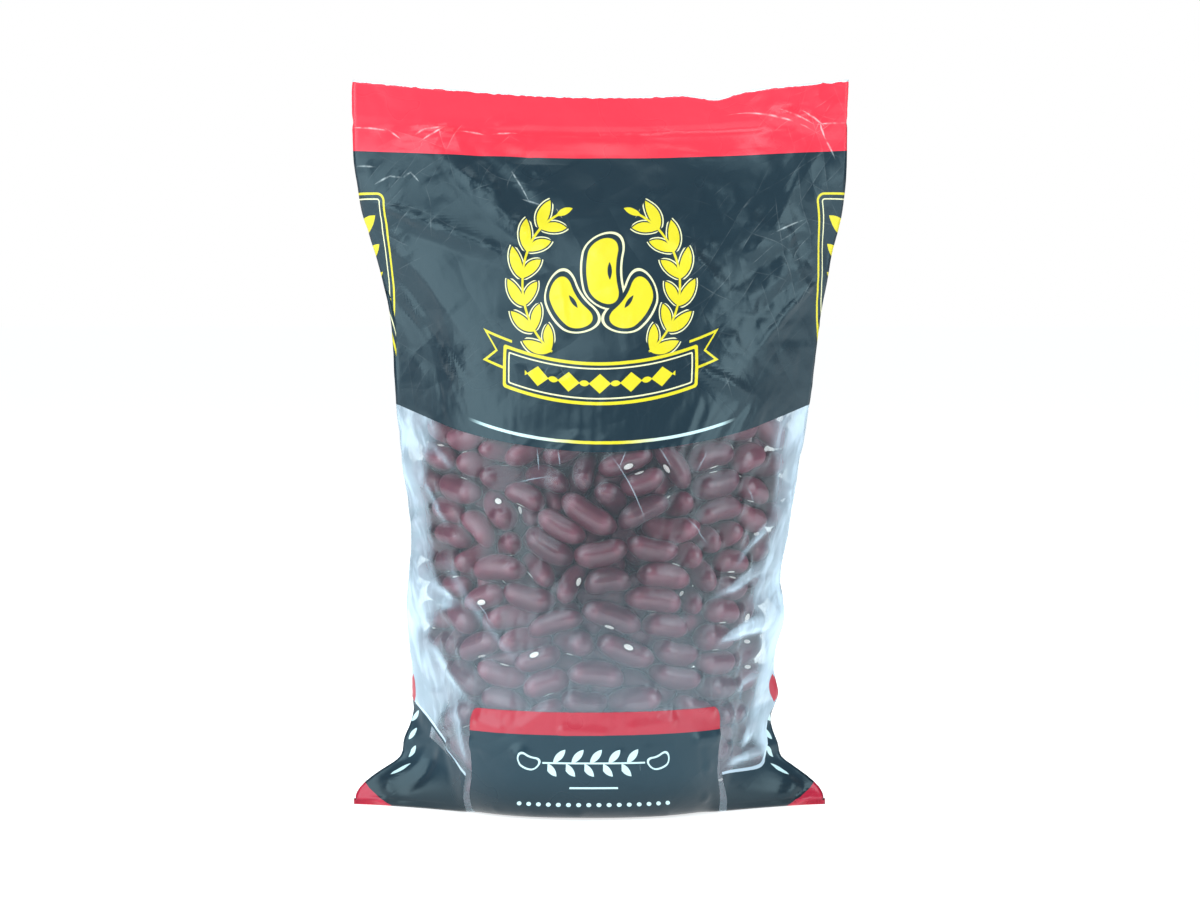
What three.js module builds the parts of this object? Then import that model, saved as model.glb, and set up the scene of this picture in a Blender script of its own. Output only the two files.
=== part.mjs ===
// A filled pillow bag of dried red beans, standing upright on its folded bottom.
// The empty bag is a flat film tube, sealed straight across at both ends. Filled, it takes a rounded
// section, so its side creases draw in as its depth grows.
// Millimetres, +Z up, front towards -Y, origin on the floor at the middle of the bag.
import * as THREE from "three";

// Film tube and seals
const FLAT_WIDTH = 140; // empty tube, from side crease to side crease
const SEAL_FOOT = 192; // height where front and back film meet
const SEAL_TOP = 201.7; // upper edge of the top seal at the middle
const CORNER_LIFT = 4.6; // how much higher the seal's corners stand than its middle
const FIN_HALF_THICKNESS = 0.6;

// Seen from the front: half the width between the side creases, by height.
// The lowest four are the folded corners that stick out sideways along the floor.
const CREASE_OUTLINE = [
  [0, 67.4],
  [3, 66.8],
  [14, 56],
  [30, 49.8],
  [62, 51.4],
  [88, 54.4],
  [116, 58.7],
  [143, 61.8],
  [157, 64.7],
  [170, 68.4],
  [184, 70],
  [207, 70],
];
// Half the depth of the filled bag, by height. Above the corners, width and depth together take 94 to 100 %
// of the tube's film, and gathers take the rest.
const DEPTH_OUTLINE = [
  [0, 34.2],
  [34, 36.8],
  [62, 36.2],
  [88, 33.4],
  [116, 27.8],
  [143, 20.8],
  [157, 16.6],
  [170, 11.6],
  [184, 4.6],
  [192, 0.6],
];
// Sideways lean of the filled bag, by height
const LEAN_OUTLINE = [
  [0, -3],
  [34, -2.6],
  [88, 0],
  [150, 1.3],
  [184, 0],
  [207, 0],
];

// Filled body
const BODY_SHARE = 0.88; // rounded body's width as a share of the width between the creases
const BODY_FULLNESS = 2.3; // 2 gives an ellipse at the foot, more gives a boxier one
const BOTTOM_EDGE_RADIUS = 9;
const SIDE_EDGE_SHARE = 0.45; // how much of that rounding the foot has sideways
const BELLY_HEIGHT = 34; // the corners reach up to this height

// Folded bottom corners
const EAR_ROOT = 36; // half width where a corner joins the body
const EAR_HALF_THICKNESS = 18; // at its root
const EAR_TAPER = 1.25; // over 1 makes a corner hollow towards its thin tip
const UNION_SHARPNESS = 7; // a higher power gives a crisper valley between body and corner

// Top seal: a slow wave in plan, and one torn notch in its edge
const SEAL_WAVE = 2.6;
const SEAL_WAVE_LENGTH = 112;
const SEAL_WAVE_SHIFT = 20;
const WAVE_FROM = 160; // height where the wave starts to grow
const LIFT_FROM = 150; // heights between which the corners' lift grows to half
const LIFT_HALFWAY = 186;
const LIFT_SHAPE = 1.7; // over 1 keeps the lift near the corners
const SEAL_NOTCH = { x: 33, depth: 1.9, half: 6 };

// Beans that press the film out
const BEAN_LENGTH = 15.6;
const BEAN_WIDTH = 8;
const BEAN_PITCH_ALONG = 15.5;
const BEAN_PITCH_UP = 7.8;
const BEAN_TURN = 0.8; // radians, from one extreme to the other
const BUMP = 1.9; // from the film's hollows to the top of a bean
const BUMP_SUNK = 0.4; // share of a bump that lies inside the smooth surface
const FILL_FROM = 30;
const FILL_TO = 113;
const BUMP_FADE = 7;
const BUMP_FADE_OVER = 3; // how far the bumps fade on past the fill's limits
const EMPTY_EDGE = 9; // film beside a side crease that no bean reaches
const RANDOM_SEED = 7;

// Folds that cross the front, as lines on the film: distance from the middle, height, depth
const FRONT_FOLDS = [
  { from: [-64, 148], to: [-33, 117], depth: 1.9, half: 4.5 },
  { from: [-58, 176], to: [-22, 150], depth: 1.2, half: 5 },
  { from: [34, 166], to: [47, 152], depth: 1.1, half: 3 },
  { from: [47, 152], to: [66, 162], depth: 1.1, half: 3 },
  { from: [36, 113], to: [56, 126], depth: 1.2, half: 4 },
  { from: [60, 180], to: [52, 166], depth: 1, half: 3.5 },
];
// The back shows folds of the same kind
const BACK_FOLDS = [
  { from: [-60, 160], to: [-30, 128], depth: 1.7, half: 4.5 },
  { from: [62, 146], to: [26, 120], depth: 1.6, half: 4.5 },
  { from: [-10, 178], to: [20, 160], depth: 1, half: 4 },
];
const PUCKER_START = 0.72; // share of the half width where a pucker starts
// Where the side crease buckles out or in: side, height, reach, half height
const SIDE_PUCKERS = [
  { side: 1, z: 52, out: 2.4, half: 5 },
  { side: 1, z: 41, out: -2.2, half: 4 },
  { side: -1, z: 66, out: -0.8, half: 6 },
  { side: -1, z: 171, out: 0.9, half: 5 },
];

// Mesh
const COLUMNS = 84; // round the bag, half of them in front
const SECTION_SAMPLES = 240; // fine points that the columns are spaced along
const FLOOR_ROWS = [0, 1.6, 3.6, 6.2, 9.4, 13.6, 18.6, 24.2];
const WINDOW_STEP = 1.95;
const HEADER_STEP = 6;
const SEAL_ROWS = 3;

const smoothstep = THREE.MathUtils.smoothstep;

// A smooth curve through [height, value] pairs, read at one height.
function along(pairs, z) {
  const last = pairs.length - 1;
  if (z <= pairs[0][0]) return pairs[0][1];
  if (z >= pairs[last][0]) return pairs[last][1];
  const i = pairs.findIndex((pair) => pair[0] > z) - 1;
  const slope = (k) => {
    if (k <= 0 || k >= last) return 0;
    const before = (pairs[k][1] - pairs[k - 1][1]) / (pairs[k][0] - pairs[k - 1][0]);
    const after = (pairs[k + 1][1] - pairs[k][1]) / (pairs[k + 1][0] - pairs[k][0]);
    return before * after <= 0 ? 0 : (2 * before * after) / (before + after);
  };
  const span = pairs[i + 1][0] - pairs[i][0];
  const t = (z - pairs[i][0]) / span;
  const rise = pairs[i + 1][1] - pairs[i][1];
  const bend = slope(i) * span * t * (1 - t) ** 2 - slope(i + 1) * span * t * t * (1 - t);
  return pairs[i][1] + rise * t * t * (3 - 2 * t) + bend;
}

const halfWidth = (z) => along(CREASE_OUTLINE, z);
const lean = (z) => along(LEAN_OUTLINE, z);

// How far the bottom edge is rounded in at a height.
function edgeInset(z) {
  if (z >= BOTTOM_EDGE_RADIUS) return 0;
  const below = BOTTOM_EDGE_RADIUS - z;
  return BOTTOM_EDGE_RADIUS - Math.sqrt(BOTTOM_EDGE_RADIUS ** 2 - below ** 2);
}

// Half depth at x of a section above the corners: an ellipse, closed by straight film to the creases.
function lensDepth(x, edge, body, deep) {
  const off = Math.abs(x);
  if (off >= edge) return 0;
  if (off > (body * body) / edge) return ((edge - off) * deep) / Math.sqrt(edge * edge - body * body);
  return deep * Math.sqrt(1 - (off / body) ** 2);
}

// The whole section at a height: its half width, and its half depth at any x.
function sectionAt(z) {
  const edge = halfWidth(z);
  if (z >= SEAL_FOOT - 1) return { edge, depthAt: () => FIN_HALF_THICKNESS };
  const deep = along(DEPTH_OUTLINE, z) - edgeInset(z);
  const lens = (x) => lensDepth(x, edge, edge * BODY_SHARE, deep);
  if (z >= BELLY_HEIGHT) return { edge, depthAt: lens };
  const low = 1 - z / BELLY_HEIGHT;
  const body = halfWidth(BELLY_HEIGHT) * BODY_SHARE - SIDE_EDGE_SHARE * edgeInset(z);
  const thick = EAR_HALF_THICKNESS - SIDE_EDGE_SHARE * edgeInset(z);
  const eared = smoothstep(low, 0, 0.5);
  const depthAt = (x) => {
    const off = Math.abs(x);
    const round = off < body ? deep * (1 - (off / body) ** BODY_FULLNESS) ** (1 / BODY_FULLNESS) : 0;
    const ear = thick * Math.min(1, Math.max(0, (edge - off) / (edge - EAR_ROOT))) ** EAR_TAPER;
    const both = (round ** UNION_SHARPNESS + ear ** UNION_SHARPNESS) ** (1 / UNION_SHARPNESS);
    return THREE.MathUtils.lerp(lens(x), both, eared);
  };
  return { edge, depthAt };
}

// Points spaced evenly along the front half of a section, from the left crease to the right one.
function evenly({ edge, depthAt }, count) {
  const fine = [];
  const run = [0];
  for (let i = 0; i <= SECTION_SAMPLES; i++) {
    const x = -edge * Math.cos((Math.PI * i) / SECTION_SAMPLES);
    const y = i === 0 || i === SECTION_SAMPLES ? 0 : depthAt(x);
    fine.push([x, y]);
    if (i) run.push(run[i - 1] + Math.hypot(x - fine[i - 1][0], y - fine[i - 1][1]));
  }
  const total = run[SECTION_SAMPLES];
  const points = [];
  for (let k = 0, i = 0; k <= count; k++) {
    const goal = (total * k) / count;
    while (i < SECTION_SAMPLES - 1 && run[i + 1] < goal) i++;
    const t = (goal - run[i]) / (run[i + 1] - run[i] || 1);
    const x = THREE.MathUtils.lerp(fine[i][0], fine[i + 1][0], t);
    const y = k === 0 || k === count ? 0 : THREE.MathUtils.lerp(fine[i][1], fine[i + 1][1], t);
    points.push({ x, y, film: goal - total / 2, fromCrease: Math.min(goal, total - goal) });
  }
  return points;
}

// One bean-shaped bump for each bean of the outer layer, in rows that are shifted and turned at random.
function scatterBeans() {
  let state = RANDOM_SEED;
  const random = () => {
    state = (state * 16807) % 2147483647;
    return state / 2147483647;
  };
  const round = 2 * FLAT_WIDTH;
  const beans = [];
  for (let row = 0, z = FILL_FROM; z <= FILL_TO; row++, z += BEAN_PITCH_UP) {
    const count = Math.round(round / BEAN_PITCH_ALONG);
    for (let i = 0; i < count; i++) {
      beans.push({
        film: ((i + (row % 2) / 2 + (random() - 0.5) * 0.4) * round) / count,
        z: z + (random() - 0.5) * 3,
        turn: (random() - 0.5) * BEAN_TURN,
        size: 0.88 + random() * 0.24,
      });
    }
  }
  return beans;
}
const BEANS = scatterBeans();

// Height of the film over its hollows, at a place on the tube. film runs once round from the left crease.
function beanRelief(film, z) {
  const round = 2 * FLAT_WIDTH;
  let highest = 0;
  for (const bean of BEANS) {
    const up = z - bean.z;
    if (Math.abs(up) > BEAN_LENGTH) continue;
    const side = film - bean.film - round * Math.round((film - bean.film) / round);
    if (Math.abs(side) > BEAN_LENGTH) continue;
    const c = Math.cos(bean.turn);
    const s = Math.sin(bean.turn);
    const long = (side * c + up * s) / (bean.size * BEAN_LENGTH * 0.5);
    const wide = (up * c - side * s) / (bean.size * BEAN_WIDTH * 0.5);
    const left = 1 - long * long - wide * wide;
    highest = Math.max(highest, left);
  }
  return highest;
}

// Depth of the folds at a place on the front or back film.
function foldRelief(folds, film, z) {
  let relief = 0;
  for (const { from, to, depth, half } of folds) {
    const dx = to[0] - from[0];
    const dz = to[1] - from[1];
    const length = Math.hypot(dx, dz);
    const t = ((film - from[0]) * dx + (z - from[1]) * dz) / (length * length);
    const aside = ((film - from[0]) * dz - (z - from[1]) * dx) / length;
    const ends = smoothstep(t, -0.15, 0.2) * (1 - smoothstep(t, 0.8, 1.15));
    relief += depth * ends * Math.exp(-((aside / half) ** 2));
  }
  return relief;
}

// How far a point near a side crease moves sideways where the film buckles.
function puckerAt(x, edge, z) {
  const near = smoothstep(Math.abs(x) / edge, PUCKER_START, 1);
  let out = 0;
  for (const pucker of SIDE_PUCKERS) {
    if (Math.sign(x) !== pucker.side) continue;
    out += pucker.out * Math.exp(-(((z - pucker.z) / pucker.half) ** 2));
  }
  return Math.sign(x) * out * near;
}

// The upper edge of the seal stands higher at its corners and has a torn notch.
function seamLift(x, z) {
  const rise = CORNER_LIFT * Math.abs(x / (FLAT_WIDTH / 2)) ** LIFT_SHAPE;
  const share = (smoothstep(z, LIFT_FROM, LIFT_HALFWAY) + smoothstep(z, LIFT_HALFWAY, SEAL_TOP)) / 2;
  const notch = SEAL_NOTCH.depth * Math.exp(-(((x - SEAL_NOTCH.x) / SEAL_NOTCH.half) ** 2));
  return rise * share - notch * smoothstep(z, SEAL_FOOT, SEAL_TOP);
}

function seamWave(x, z) {
  const angle = (2 * Math.PI * (x + SEAL_WAVE_SHIFT)) / SEAL_WAVE_LENGTH;
  return SEAL_WAVE * Math.sin(angle) * smoothstep(z, WAVE_FROM, SEAL_FOOT);
}

// One ring of points round the bag at a nominal height, front from left to right and then the back.
function ring(z) {
  const half = COLUMNS / 2;
  const points = evenly(sectionAt(z), half);
  const risen = smoothstep(z, FILL_FROM - BUMP_FADE, FILL_FROM + BUMP_FADE_OVER);
  const filled = risen * (1 - smoothstep(z, FILL_TO - BUMP_FADE, FILL_TO + BUMP_FADE_OVER));
  const place = (k, side) => {
    const { x, y, film, fromCrease } = points[k];
    const before = points[Math.max(0, k - 1)];
    const after = points[Math.min(half, k + 1)];
    const run = Math.hypot(after.x - before.x, after.y - before.y);
    const roundAt = side < 0 ? fromCrease + (film > 0 ? 2 * film : 0) : FLAT_WIDTH * 2 - (film + FLAT_WIDTH / 2);
    const loose = smoothstep(fromCrease, 2, EMPTY_EDGE);
    const bump = filled * loose * BUMP * (beanRelief(roundAt, z) - BUMP_SUNK);
    const folds = side < 0 ? FRONT_FOLDS : BACK_FOLDS;
    const out = bump - loose * foldRelief(folds, film, z);
    const nx = -(after.y - before.y) / run;
    const ny = (after.x - before.x) / run;
    const edge = points[half].x;
    const moved = x + nx * out + puckerAt(x, edge, z);
    const deep = k === 0 || k === half ? 0 : Math.max(FIN_HALF_THICKNESS, y + ny * out);
    return new THREE.Vector3(moved + lean(z), side * deep + seamWave(x, z), z + seamLift(x, z));
  };
  const front = Array.from({ length: half }, (_, k) => place(k, -1));
  const back = Array.from({ length: half }, (_, k) => place(half - k, 1));
  return [...front, ...back];
}

// Heights of the rings: close together over the beans, wider apart over the smooth film.
function ringHeights() {
  const heights = [...FLOOR_ROWS];
  for (let z = FILL_FROM; z < FILL_TO + BUMP_FADE; z += WINDOW_STEP) heights.push(z);
  for (let z = heights.at(-1) + HEADER_STEP; z < SEAL_FOOT - 2; z += HEADER_STEP) heights.push(z);
  for (let i = 0; i < SEAL_ROWS; i++) heights.push(SEAL_FOOT + ((SEAL_TOP - SEAL_FOOT) * i) / (SEAL_ROWS - 1));
  return heights;
}

// A closed solid through the rings, each end zipped shut from the front film to the back film.
function loft(rings) {
  const position = rings.flat().flatMap((p) => [p.x, p.y, p.z]);
  const index = [];
  const at = (row, column) => row * COLUMNS + (column % COLUMNS);
  const apart = (row, column, otherRow, otherColumn) =>
    rings[row][column % COLUMNS].distanceTo(rings[otherRow][otherColumn % COLUMNS]);
  for (let row = 0; row + 1 < rings.length; row++) {
    for (let k = 0; k < COLUMNS; k++) {
      const corners = [at(row, k), at(row, k + 1), at(row + 1, k + 1), at(row + 1, k)];
      const rising = apart(row, k, row + 1, k + 1) < apart(row, k + 1, row + 1, k);
      const split = rising ? [0, 1, 2, 0, 2, 3] : [0, 1, 3, 1, 2, 3];
      index.push(...split.map((corner) => corners[corner]));
    }
  }
  const top = rings.length - 1;
  for (let k = 0; k < COLUMNS / 2; k++) {
    const opposite = COLUMNS - k;
    if (k > 0) {
      index.push(at(0, k), at(0, opposite), at(0, k + 1));
      index.push(at(top, k), at(top, k + 1), at(top, opposite));
    }
    if (k + 1 < COLUMNS / 2) {
      index.push(at(0, k + 1), at(0, opposite), at(0, opposite - 1));
      index.push(at(top, k + 1), at(top, opposite - 1), at(top, opposite));
    }
  }
  const geometry = new THREE.BufferGeometry();
  geometry.setAttribute("position", new THREE.Float32BufferAttribute(position, 3));
  geometry.setIndex(index);
  return geometry;
}

// Moves a geometry so that the middle of its box is over the origin and its foot is at height 0.
function standOnOrigin(geometry) {
  geometry.computeBoundingBox();
  const { min, max } = geometry.boundingBox;
  geometry.translate(-(min.x + max.x) / 2, -(min.y + max.y) / 2, -min.z);
  geometry.computeVertexNormals();
  return geometry;
}

const printedFilm = new THREE.MeshStandardMaterial({ color: 0x3a4d56, roughness: 0.35, metalness: 0 });

const bag = new THREE.Mesh(standOnOrigin(loft(ringHeights().map(ring))), printedFilm);
bag.name = "bean_bag";

const group = new THREE.Group();
group.name = "bag_of_dried_beans";
group.add(bag);

export default group;
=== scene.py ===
# Bag of dried red beans: glossy printed film over loose beans, standing on its folded bottom.
# Shapes are worked out in millimetres and written to the meshes in metres.
# Front towards -Y, +Z up, origin on the floor at the middle of the bag.
import math

import bpy
import numpy as np
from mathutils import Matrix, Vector


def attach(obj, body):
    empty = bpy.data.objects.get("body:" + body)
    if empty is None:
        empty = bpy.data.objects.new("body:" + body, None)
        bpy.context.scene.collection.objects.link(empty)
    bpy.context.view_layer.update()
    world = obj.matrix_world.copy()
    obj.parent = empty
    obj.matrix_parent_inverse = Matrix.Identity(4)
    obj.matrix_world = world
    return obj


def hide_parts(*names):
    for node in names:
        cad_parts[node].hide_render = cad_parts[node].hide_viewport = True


MM = 0.001

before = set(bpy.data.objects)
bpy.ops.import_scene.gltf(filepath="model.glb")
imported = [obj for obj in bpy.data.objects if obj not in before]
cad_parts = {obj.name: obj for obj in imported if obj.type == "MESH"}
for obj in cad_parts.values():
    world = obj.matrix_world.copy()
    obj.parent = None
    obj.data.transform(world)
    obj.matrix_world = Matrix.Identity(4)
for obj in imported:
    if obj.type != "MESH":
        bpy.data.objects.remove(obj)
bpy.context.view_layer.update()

# Film tube and seals
FLAT_WIDTH = 140.0
SEAL_FOOT = 192.0
SEAL_TOP = 201.7
CORNER_LIFT = 4.6
FIN_HALF_THICKNESS = 0.45
SEAL_NOTCH_AT = 33.0
SEAL_NOTCH_DEPTH = 1.9
SEAL_NOTCH_HALF = 6.0
SEAL_WAVE = 2.6
SEAL_WAVE_LENGTH = 112.0
SEAL_WAVE_SHIFT = 20.0
WAVE_FROM = 160.0
LIFT_FROM = 150.0
LIFT_HALFWAY = 186.0
LIFT_SHAPE = 1.7

# Outline by height: half width between the side creases, half depth, sideways lean
CREASE_OUTLINE = [
    (0, 67.4), (3, 66.8), (14, 56), (30, 49.8), (62, 51.4), (88, 54.4),
    (116, 58.7), (143, 61.8), (157, 64.7), (170, 68.4), (184, 70), (207, 70),
]
DEPTH_OUTLINE = [
    (0, 34.2), (34, 36.8), (62, 36.2), (88, 33.4), (116, 27.8),
    (143, 20.8), (157, 16.6), (170, 11.6), (184, 4.6), (192, 0.6),
]
LEAN_OUTLINE = [(0, -3), (34, -2.6), (88, 0), (150, 1.3), (184, 0), (207, 0)]

# Filled body and its folded bottom corners
BODY_SHARE = 0.88
BODY_FULLNESS = 2.3
BOTTOM_EDGE_RADIUS = 9.0
SIDE_EDGE_SHARE = 0.45
BELLY_HEIGHT = 34.0
FOOT_NARROWING = 0.12
EAR_ROOT = 36.0
EAR_HALF_THICKNESS = 18.0
EAR_TAPER = 1.25
UNION_SHARPNESS = 7.0

# Film mesh, coarse to fine
HALF_COLUMNS = 160
ROWS = 252
COARSER = (4, 2, 1)
BASE_ROWS = 8

# Bands of height over which the film changes: where the empty header starts, where its crumples
# end, where the beans fill the film, where it is cut to size, firm near the foot and sealed
HEADER_START = (112, 124)
CRUMPLES_END = (184, 190)
FILLED_FROM = (4, 16)
FILLED_TO = (112, 132)
PRESSED_FROM = (22, 42)
CUT_SIZE_FROM = (6, 30)
FIRM_BELOW = (8, 30)
SEALED_FROM = (178, 191)
LAP_END = (188, 191)
FIXED_BELOW = 1.5
FIXED_ABOVE = 191

# Beans
BEAN_COUNT = 720
BEAN_RADIUS = 4.0
BEAN_HALF_CORE = 4.05
BEAN_FLATNESS = 0.95
FILL_TOP = 124.0
BEAN_SEED = 11


def smoothstep(x, low, high):
    t = np.clip((x - low) / (high - low), 0, 1)
    return t * t * (3 - 2 * t)


def turned(x, y, angle):
    """Coordinates turned by an angle in radians."""
    c, s = math.cos(angle), math.sin(angle)
    return x * c + y * s, y * c - x * s


def along(pairs, z):
    """A smooth curve through (height, value) pairs, read at any heights."""
    x, y = np.array(pairs, float).T
    gap = np.diff(x)
    rise = np.diff(y) / gap
    same = rise[:-1] * rise[1:] > 0
    inner = np.where(same, 2 * rise[:-1] * rise[1:] / np.where(same, rise[:-1] + rise[1:], 1), 0)
    slope = np.concatenate([[0], inner, [0]])
    z = np.clip(z, x[0], x[-1])
    i = np.clip(np.searchsorted(x, z, side="right") - 1, 0, len(gap) - 1)
    t = (z - x[i]) / gap[i]
    bend = slope[i] * gap[i] * t * (1 - t) ** 2 - slope[i + 1] * gap[i] * t * t * (1 - t)
    return y[i] + rise[i] * gap[i] * t * t * (3 - 2 * t) + bend


def edge_inset(z):
    """How far the bottom edge is rounded in at a height."""
    below = np.clip(BOTTOM_EDGE_RADIUS - z, 0, BOTTOM_EDGE_RADIUS)
    return BOTTOM_EDGE_RADIUS - np.sqrt(BOTTOM_EDGE_RADIUS**2 - below**2)


def half_depth(x, z):
    """Half the bag's depth at x and z: a lens above, a rounded body with two thin corners below."""
    edge = along(CREASE_OUTLINE, z)
    inset = edge_inset(z)
    deep = np.maximum(along(DEPTH_OUTLINE, z) - inset, FIN_HALF_THICKNESS)
    off = np.abs(x)
    body = edge * BODY_SHARE
    straight = np.clip(edge - off, 0, None) * deep / np.sqrt(edge**2 - body**2)
    rounded = deep * np.sqrt(np.clip(1 - (off / body) ** 2, 0, 1))
    lens = np.where(off > body * body / edge, straight, rounded)
    low = np.clip(1 - z / BELLY_HEIGHT, 0, 1)
    foot = along(CREASE_OUTLINE, BELLY_HEIGHT) * BODY_SHARE * (1 - FOOT_NARROWING * low)
    foot = foot - SIDE_EDGE_SHARE * inset
    thick = EAR_HALF_THICKNESS - SIDE_EDGE_SHARE * inset
    trunk = deep * np.clip(1 - (off / foot) ** BODY_FULLNESS, 0, 1) ** (1 / BODY_FULLNESS)
    ear = thick * np.clip((edge - off) / (edge - EAR_ROOT), 0, 1) ** EAR_TAPER
    both = (trunk**UNION_SHARPNESS + ear**UNION_SHARPNESS) ** (1 / UNION_SHARPNESS)
    eared = smoothstep(low, 0, 0.5)
    return lens * (1 - eared) + both * eared


def seam_lift(x, z):
    """The top seal stands higher at its corners and has a torn notch."""
    rise = CORNER_LIFT * np.abs(x / (FLAT_WIDTH / 2)) ** LIFT_SHAPE
    share = (smoothstep(z, LIFT_FROM, LIFT_HALFWAY) + smoothstep(z, LIFT_HALFWAY, SEAL_TOP)) / 2
    notch = SEAL_NOTCH_DEPTH * np.exp(-(((x - SEAL_NOTCH_AT) / SEAL_NOTCH_HALF) ** 2))
    return rise * share - notch * smoothstep(z, SEAL_FOOT, SEAL_TOP)


def seam_wave(x, z):
    """The slow wave of the top seal in plan."""
    angle = 2 * math.pi * (x + SEAL_WAVE_SHIFT) / SEAL_WAVE_LENGTH
    return SEAL_WAVE * np.sin(angle) * smoothstep(z, WAVE_FROM, SEAL_FOOT)


def smooth_film(heights, half):
    """The film without a crease: rings of evenly spaced points, front left to right, then the back."""
    samples = 3 * half
    rings = np.zeros((len(heights), 2 * half, 3))
    for row, z in enumerate(heights):
        edge = float(along(CREASE_OUTLINE, z))
        x = -edge * np.cos(np.pi * np.arange(samples + 1) / samples)
        y = half_depth(x, z) if z < SEAL_FOOT - 1 else np.full(x.shape, FIN_HALF_THICKNESS)
        y[0] = y[-1] = 0
        run = np.concatenate([[0], np.cumsum(np.hypot(np.diff(x), np.diff(y)))])
        goal = run[-1] * np.arange(half + 1) / half
        front_x = np.interp(goal, run, x)
        front_y = np.interp(goal, run, y)
        front_y[0] = front_y[-1] = 0
        ring_x = np.concatenate([front_x[:half], front_x[half:0:-1]])
        ring_y = np.concatenate([-front_y[:half], front_y[half:0:-1]])
        rings[row, :, 0] = ring_x + along(LEAN_OUTLINE, z)
        rings[row, :, 1] = ring_y + seam_wave(ring_x, z)
        rings[row, :, 2] = z + seam_lift(ring_x, z)
    return rings


def outward(film):
    """Unit normals of a ring grid, pointing out of the bag."""
    across = np.roll(film, -1, 1) - np.roll(film, 1, 1)
    up = np.gradient(film, axis=0)
    normal = np.cross(across, up)
    return normal / np.maximum(np.linalg.norm(normal, axis=2, keepdims=True), 1e-9)


# Beans settle as capsules inside the film, then the film settles over them.

# Half width and height of the table of the bag's depth
TABLE_X = 74
TABLE_Z = 200


def wall_table():
    """Half depth and its slopes on a grid of one millimetre."""
    x = np.arange(-TABLE_X, TABLE_X + 1.0)
    z = np.arange(0, TABLE_Z + 1.0)
    depth = half_depth(x[:, None], z[None, :])
    depth[np.abs(x)[:, None] >= along(CREASE_OUTLINE, z)[None, :]] = 0
    return np.stack([depth, np.gradient(depth, axis=0), np.gradient(depth, axis=1)], 2)


def wall_gap(table, p):
    """Distance of points from the film, and the direction back into the bag."""
    x = np.clip(p[:, 0] - along(LEAN_OUTLINE, p[:, 2]) + TABLE_X, 0, 2 * TABLE_X - 0.001)
    z = np.clip(p[:, 2], 0, TABLE_Z - 0.001)
    i, j = x.astype(int), z.astype(int)
    s, t = (x - i)[:, None], (z - j)[:, None]
    low = table[i, j] * (1 - s) + table[i + 1, j] * s
    high = table[i, j + 1] * (1 - s) + table[i + 1, j + 1] * s
    depth, slope_x, slope_z = (low * (1 - t) + high * t).T
    side = np.where(p[:, 1] >= 0, 1.0, -1.0)
    length = np.sqrt(1 + slope_x**2 + slope_z**2)
    inward = np.stack([slope_x, -side, slope_z], 1) / length[:, None]
    return (depth - np.abs(p[:, 1])) / length, inward


def nearest_on_cores(a_mid, a_axis, a_half, b_mid, b_axis, b_half):
    """Closest places on two straight cores, as signed distances along each."""
    between = b_mid - a_mid
    dot = (a_axis * b_axis).sum(1)
    to_a = (between * a_axis).sum(1)
    to_b = (between * b_axis).sum(1)
    flat = np.maximum(1 - dot * dot, 1e-4)
    s = np.clip((to_a - dot * to_b) / flat, -a_half, a_half)
    t = np.clip(dot * s - to_b, -b_half, b_half)
    s = np.clip(dot * t + to_a, -a_half, a_half)
    return s, t


# How the beans settle: rounds, growth, the box they start in, clearances and pushes
SETTLE_ROUNDS = 420
GROW_ROUNDS = 180
START_SIZE = 0.5
START_LOW = (-60, -36, 4)
START_HIGH = (60, 36, FILL_TOP - 4)
NEIGHBOUR_EVERY = 6
WALL_CLEARANCE = 0.15
SLACK_FROM = 96.0
TOP_CLEARANCE = 2.2
LOW_CLEARANCE = 0.9
LOW_BAND = (8, 30)
FLOOR_LEVEL = 1.4
MOST_PUSH = 6
SINK = 0.03
OUTWARD_PRESS = 0.16
PRESS_REACH = 9.0
EASE = 0.9
FREE_TOUCHES = 2.2
LEVEL_BIAS = 0.3
LEVEL_PULL = 0.985


def scatter_beans(random, table):
    """Middles, axes, radii and half core lengths of the beans before they settle."""
    middle = np.zeros((0, 3))
    while len(middle) < BEAN_COUNT:
        tries = random.uniform(START_LOW, START_HIGH, (2 * BEAN_COUNT, 3))
        inside = wall_gap(table, tries)[0] > BEAN_RADIUS
        middle = np.concatenate([middle, tries[inside]])[:BEAN_COUNT]
    axis = random.normal(size=(BEAN_COUNT, 3)) * (1, 0.95, LEVEL_BIAS)
    axis /= np.linalg.norm(axis, axis=1, keepdims=True)
    radius = BEAN_RADIUS * random.uniform(0.9, 1.1, BEAN_COUNT)
    core = BEAN_HALF_CORE * random.uniform(0.6, 1.2, BEAN_COUNT)
    return middle, axis, radius, core


def near_pairs(middle, reach):
    """Pairs of beans that are close enough to touch within the next rounds."""
    apart = middle[:, None] - middle[None]
    near = np.einsum("ijk,ijk->ij", apart, apart)
    return np.nonzero(np.triu(near < (reach[:, None] + reach[None] + 1) ** 2, 1))


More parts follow.
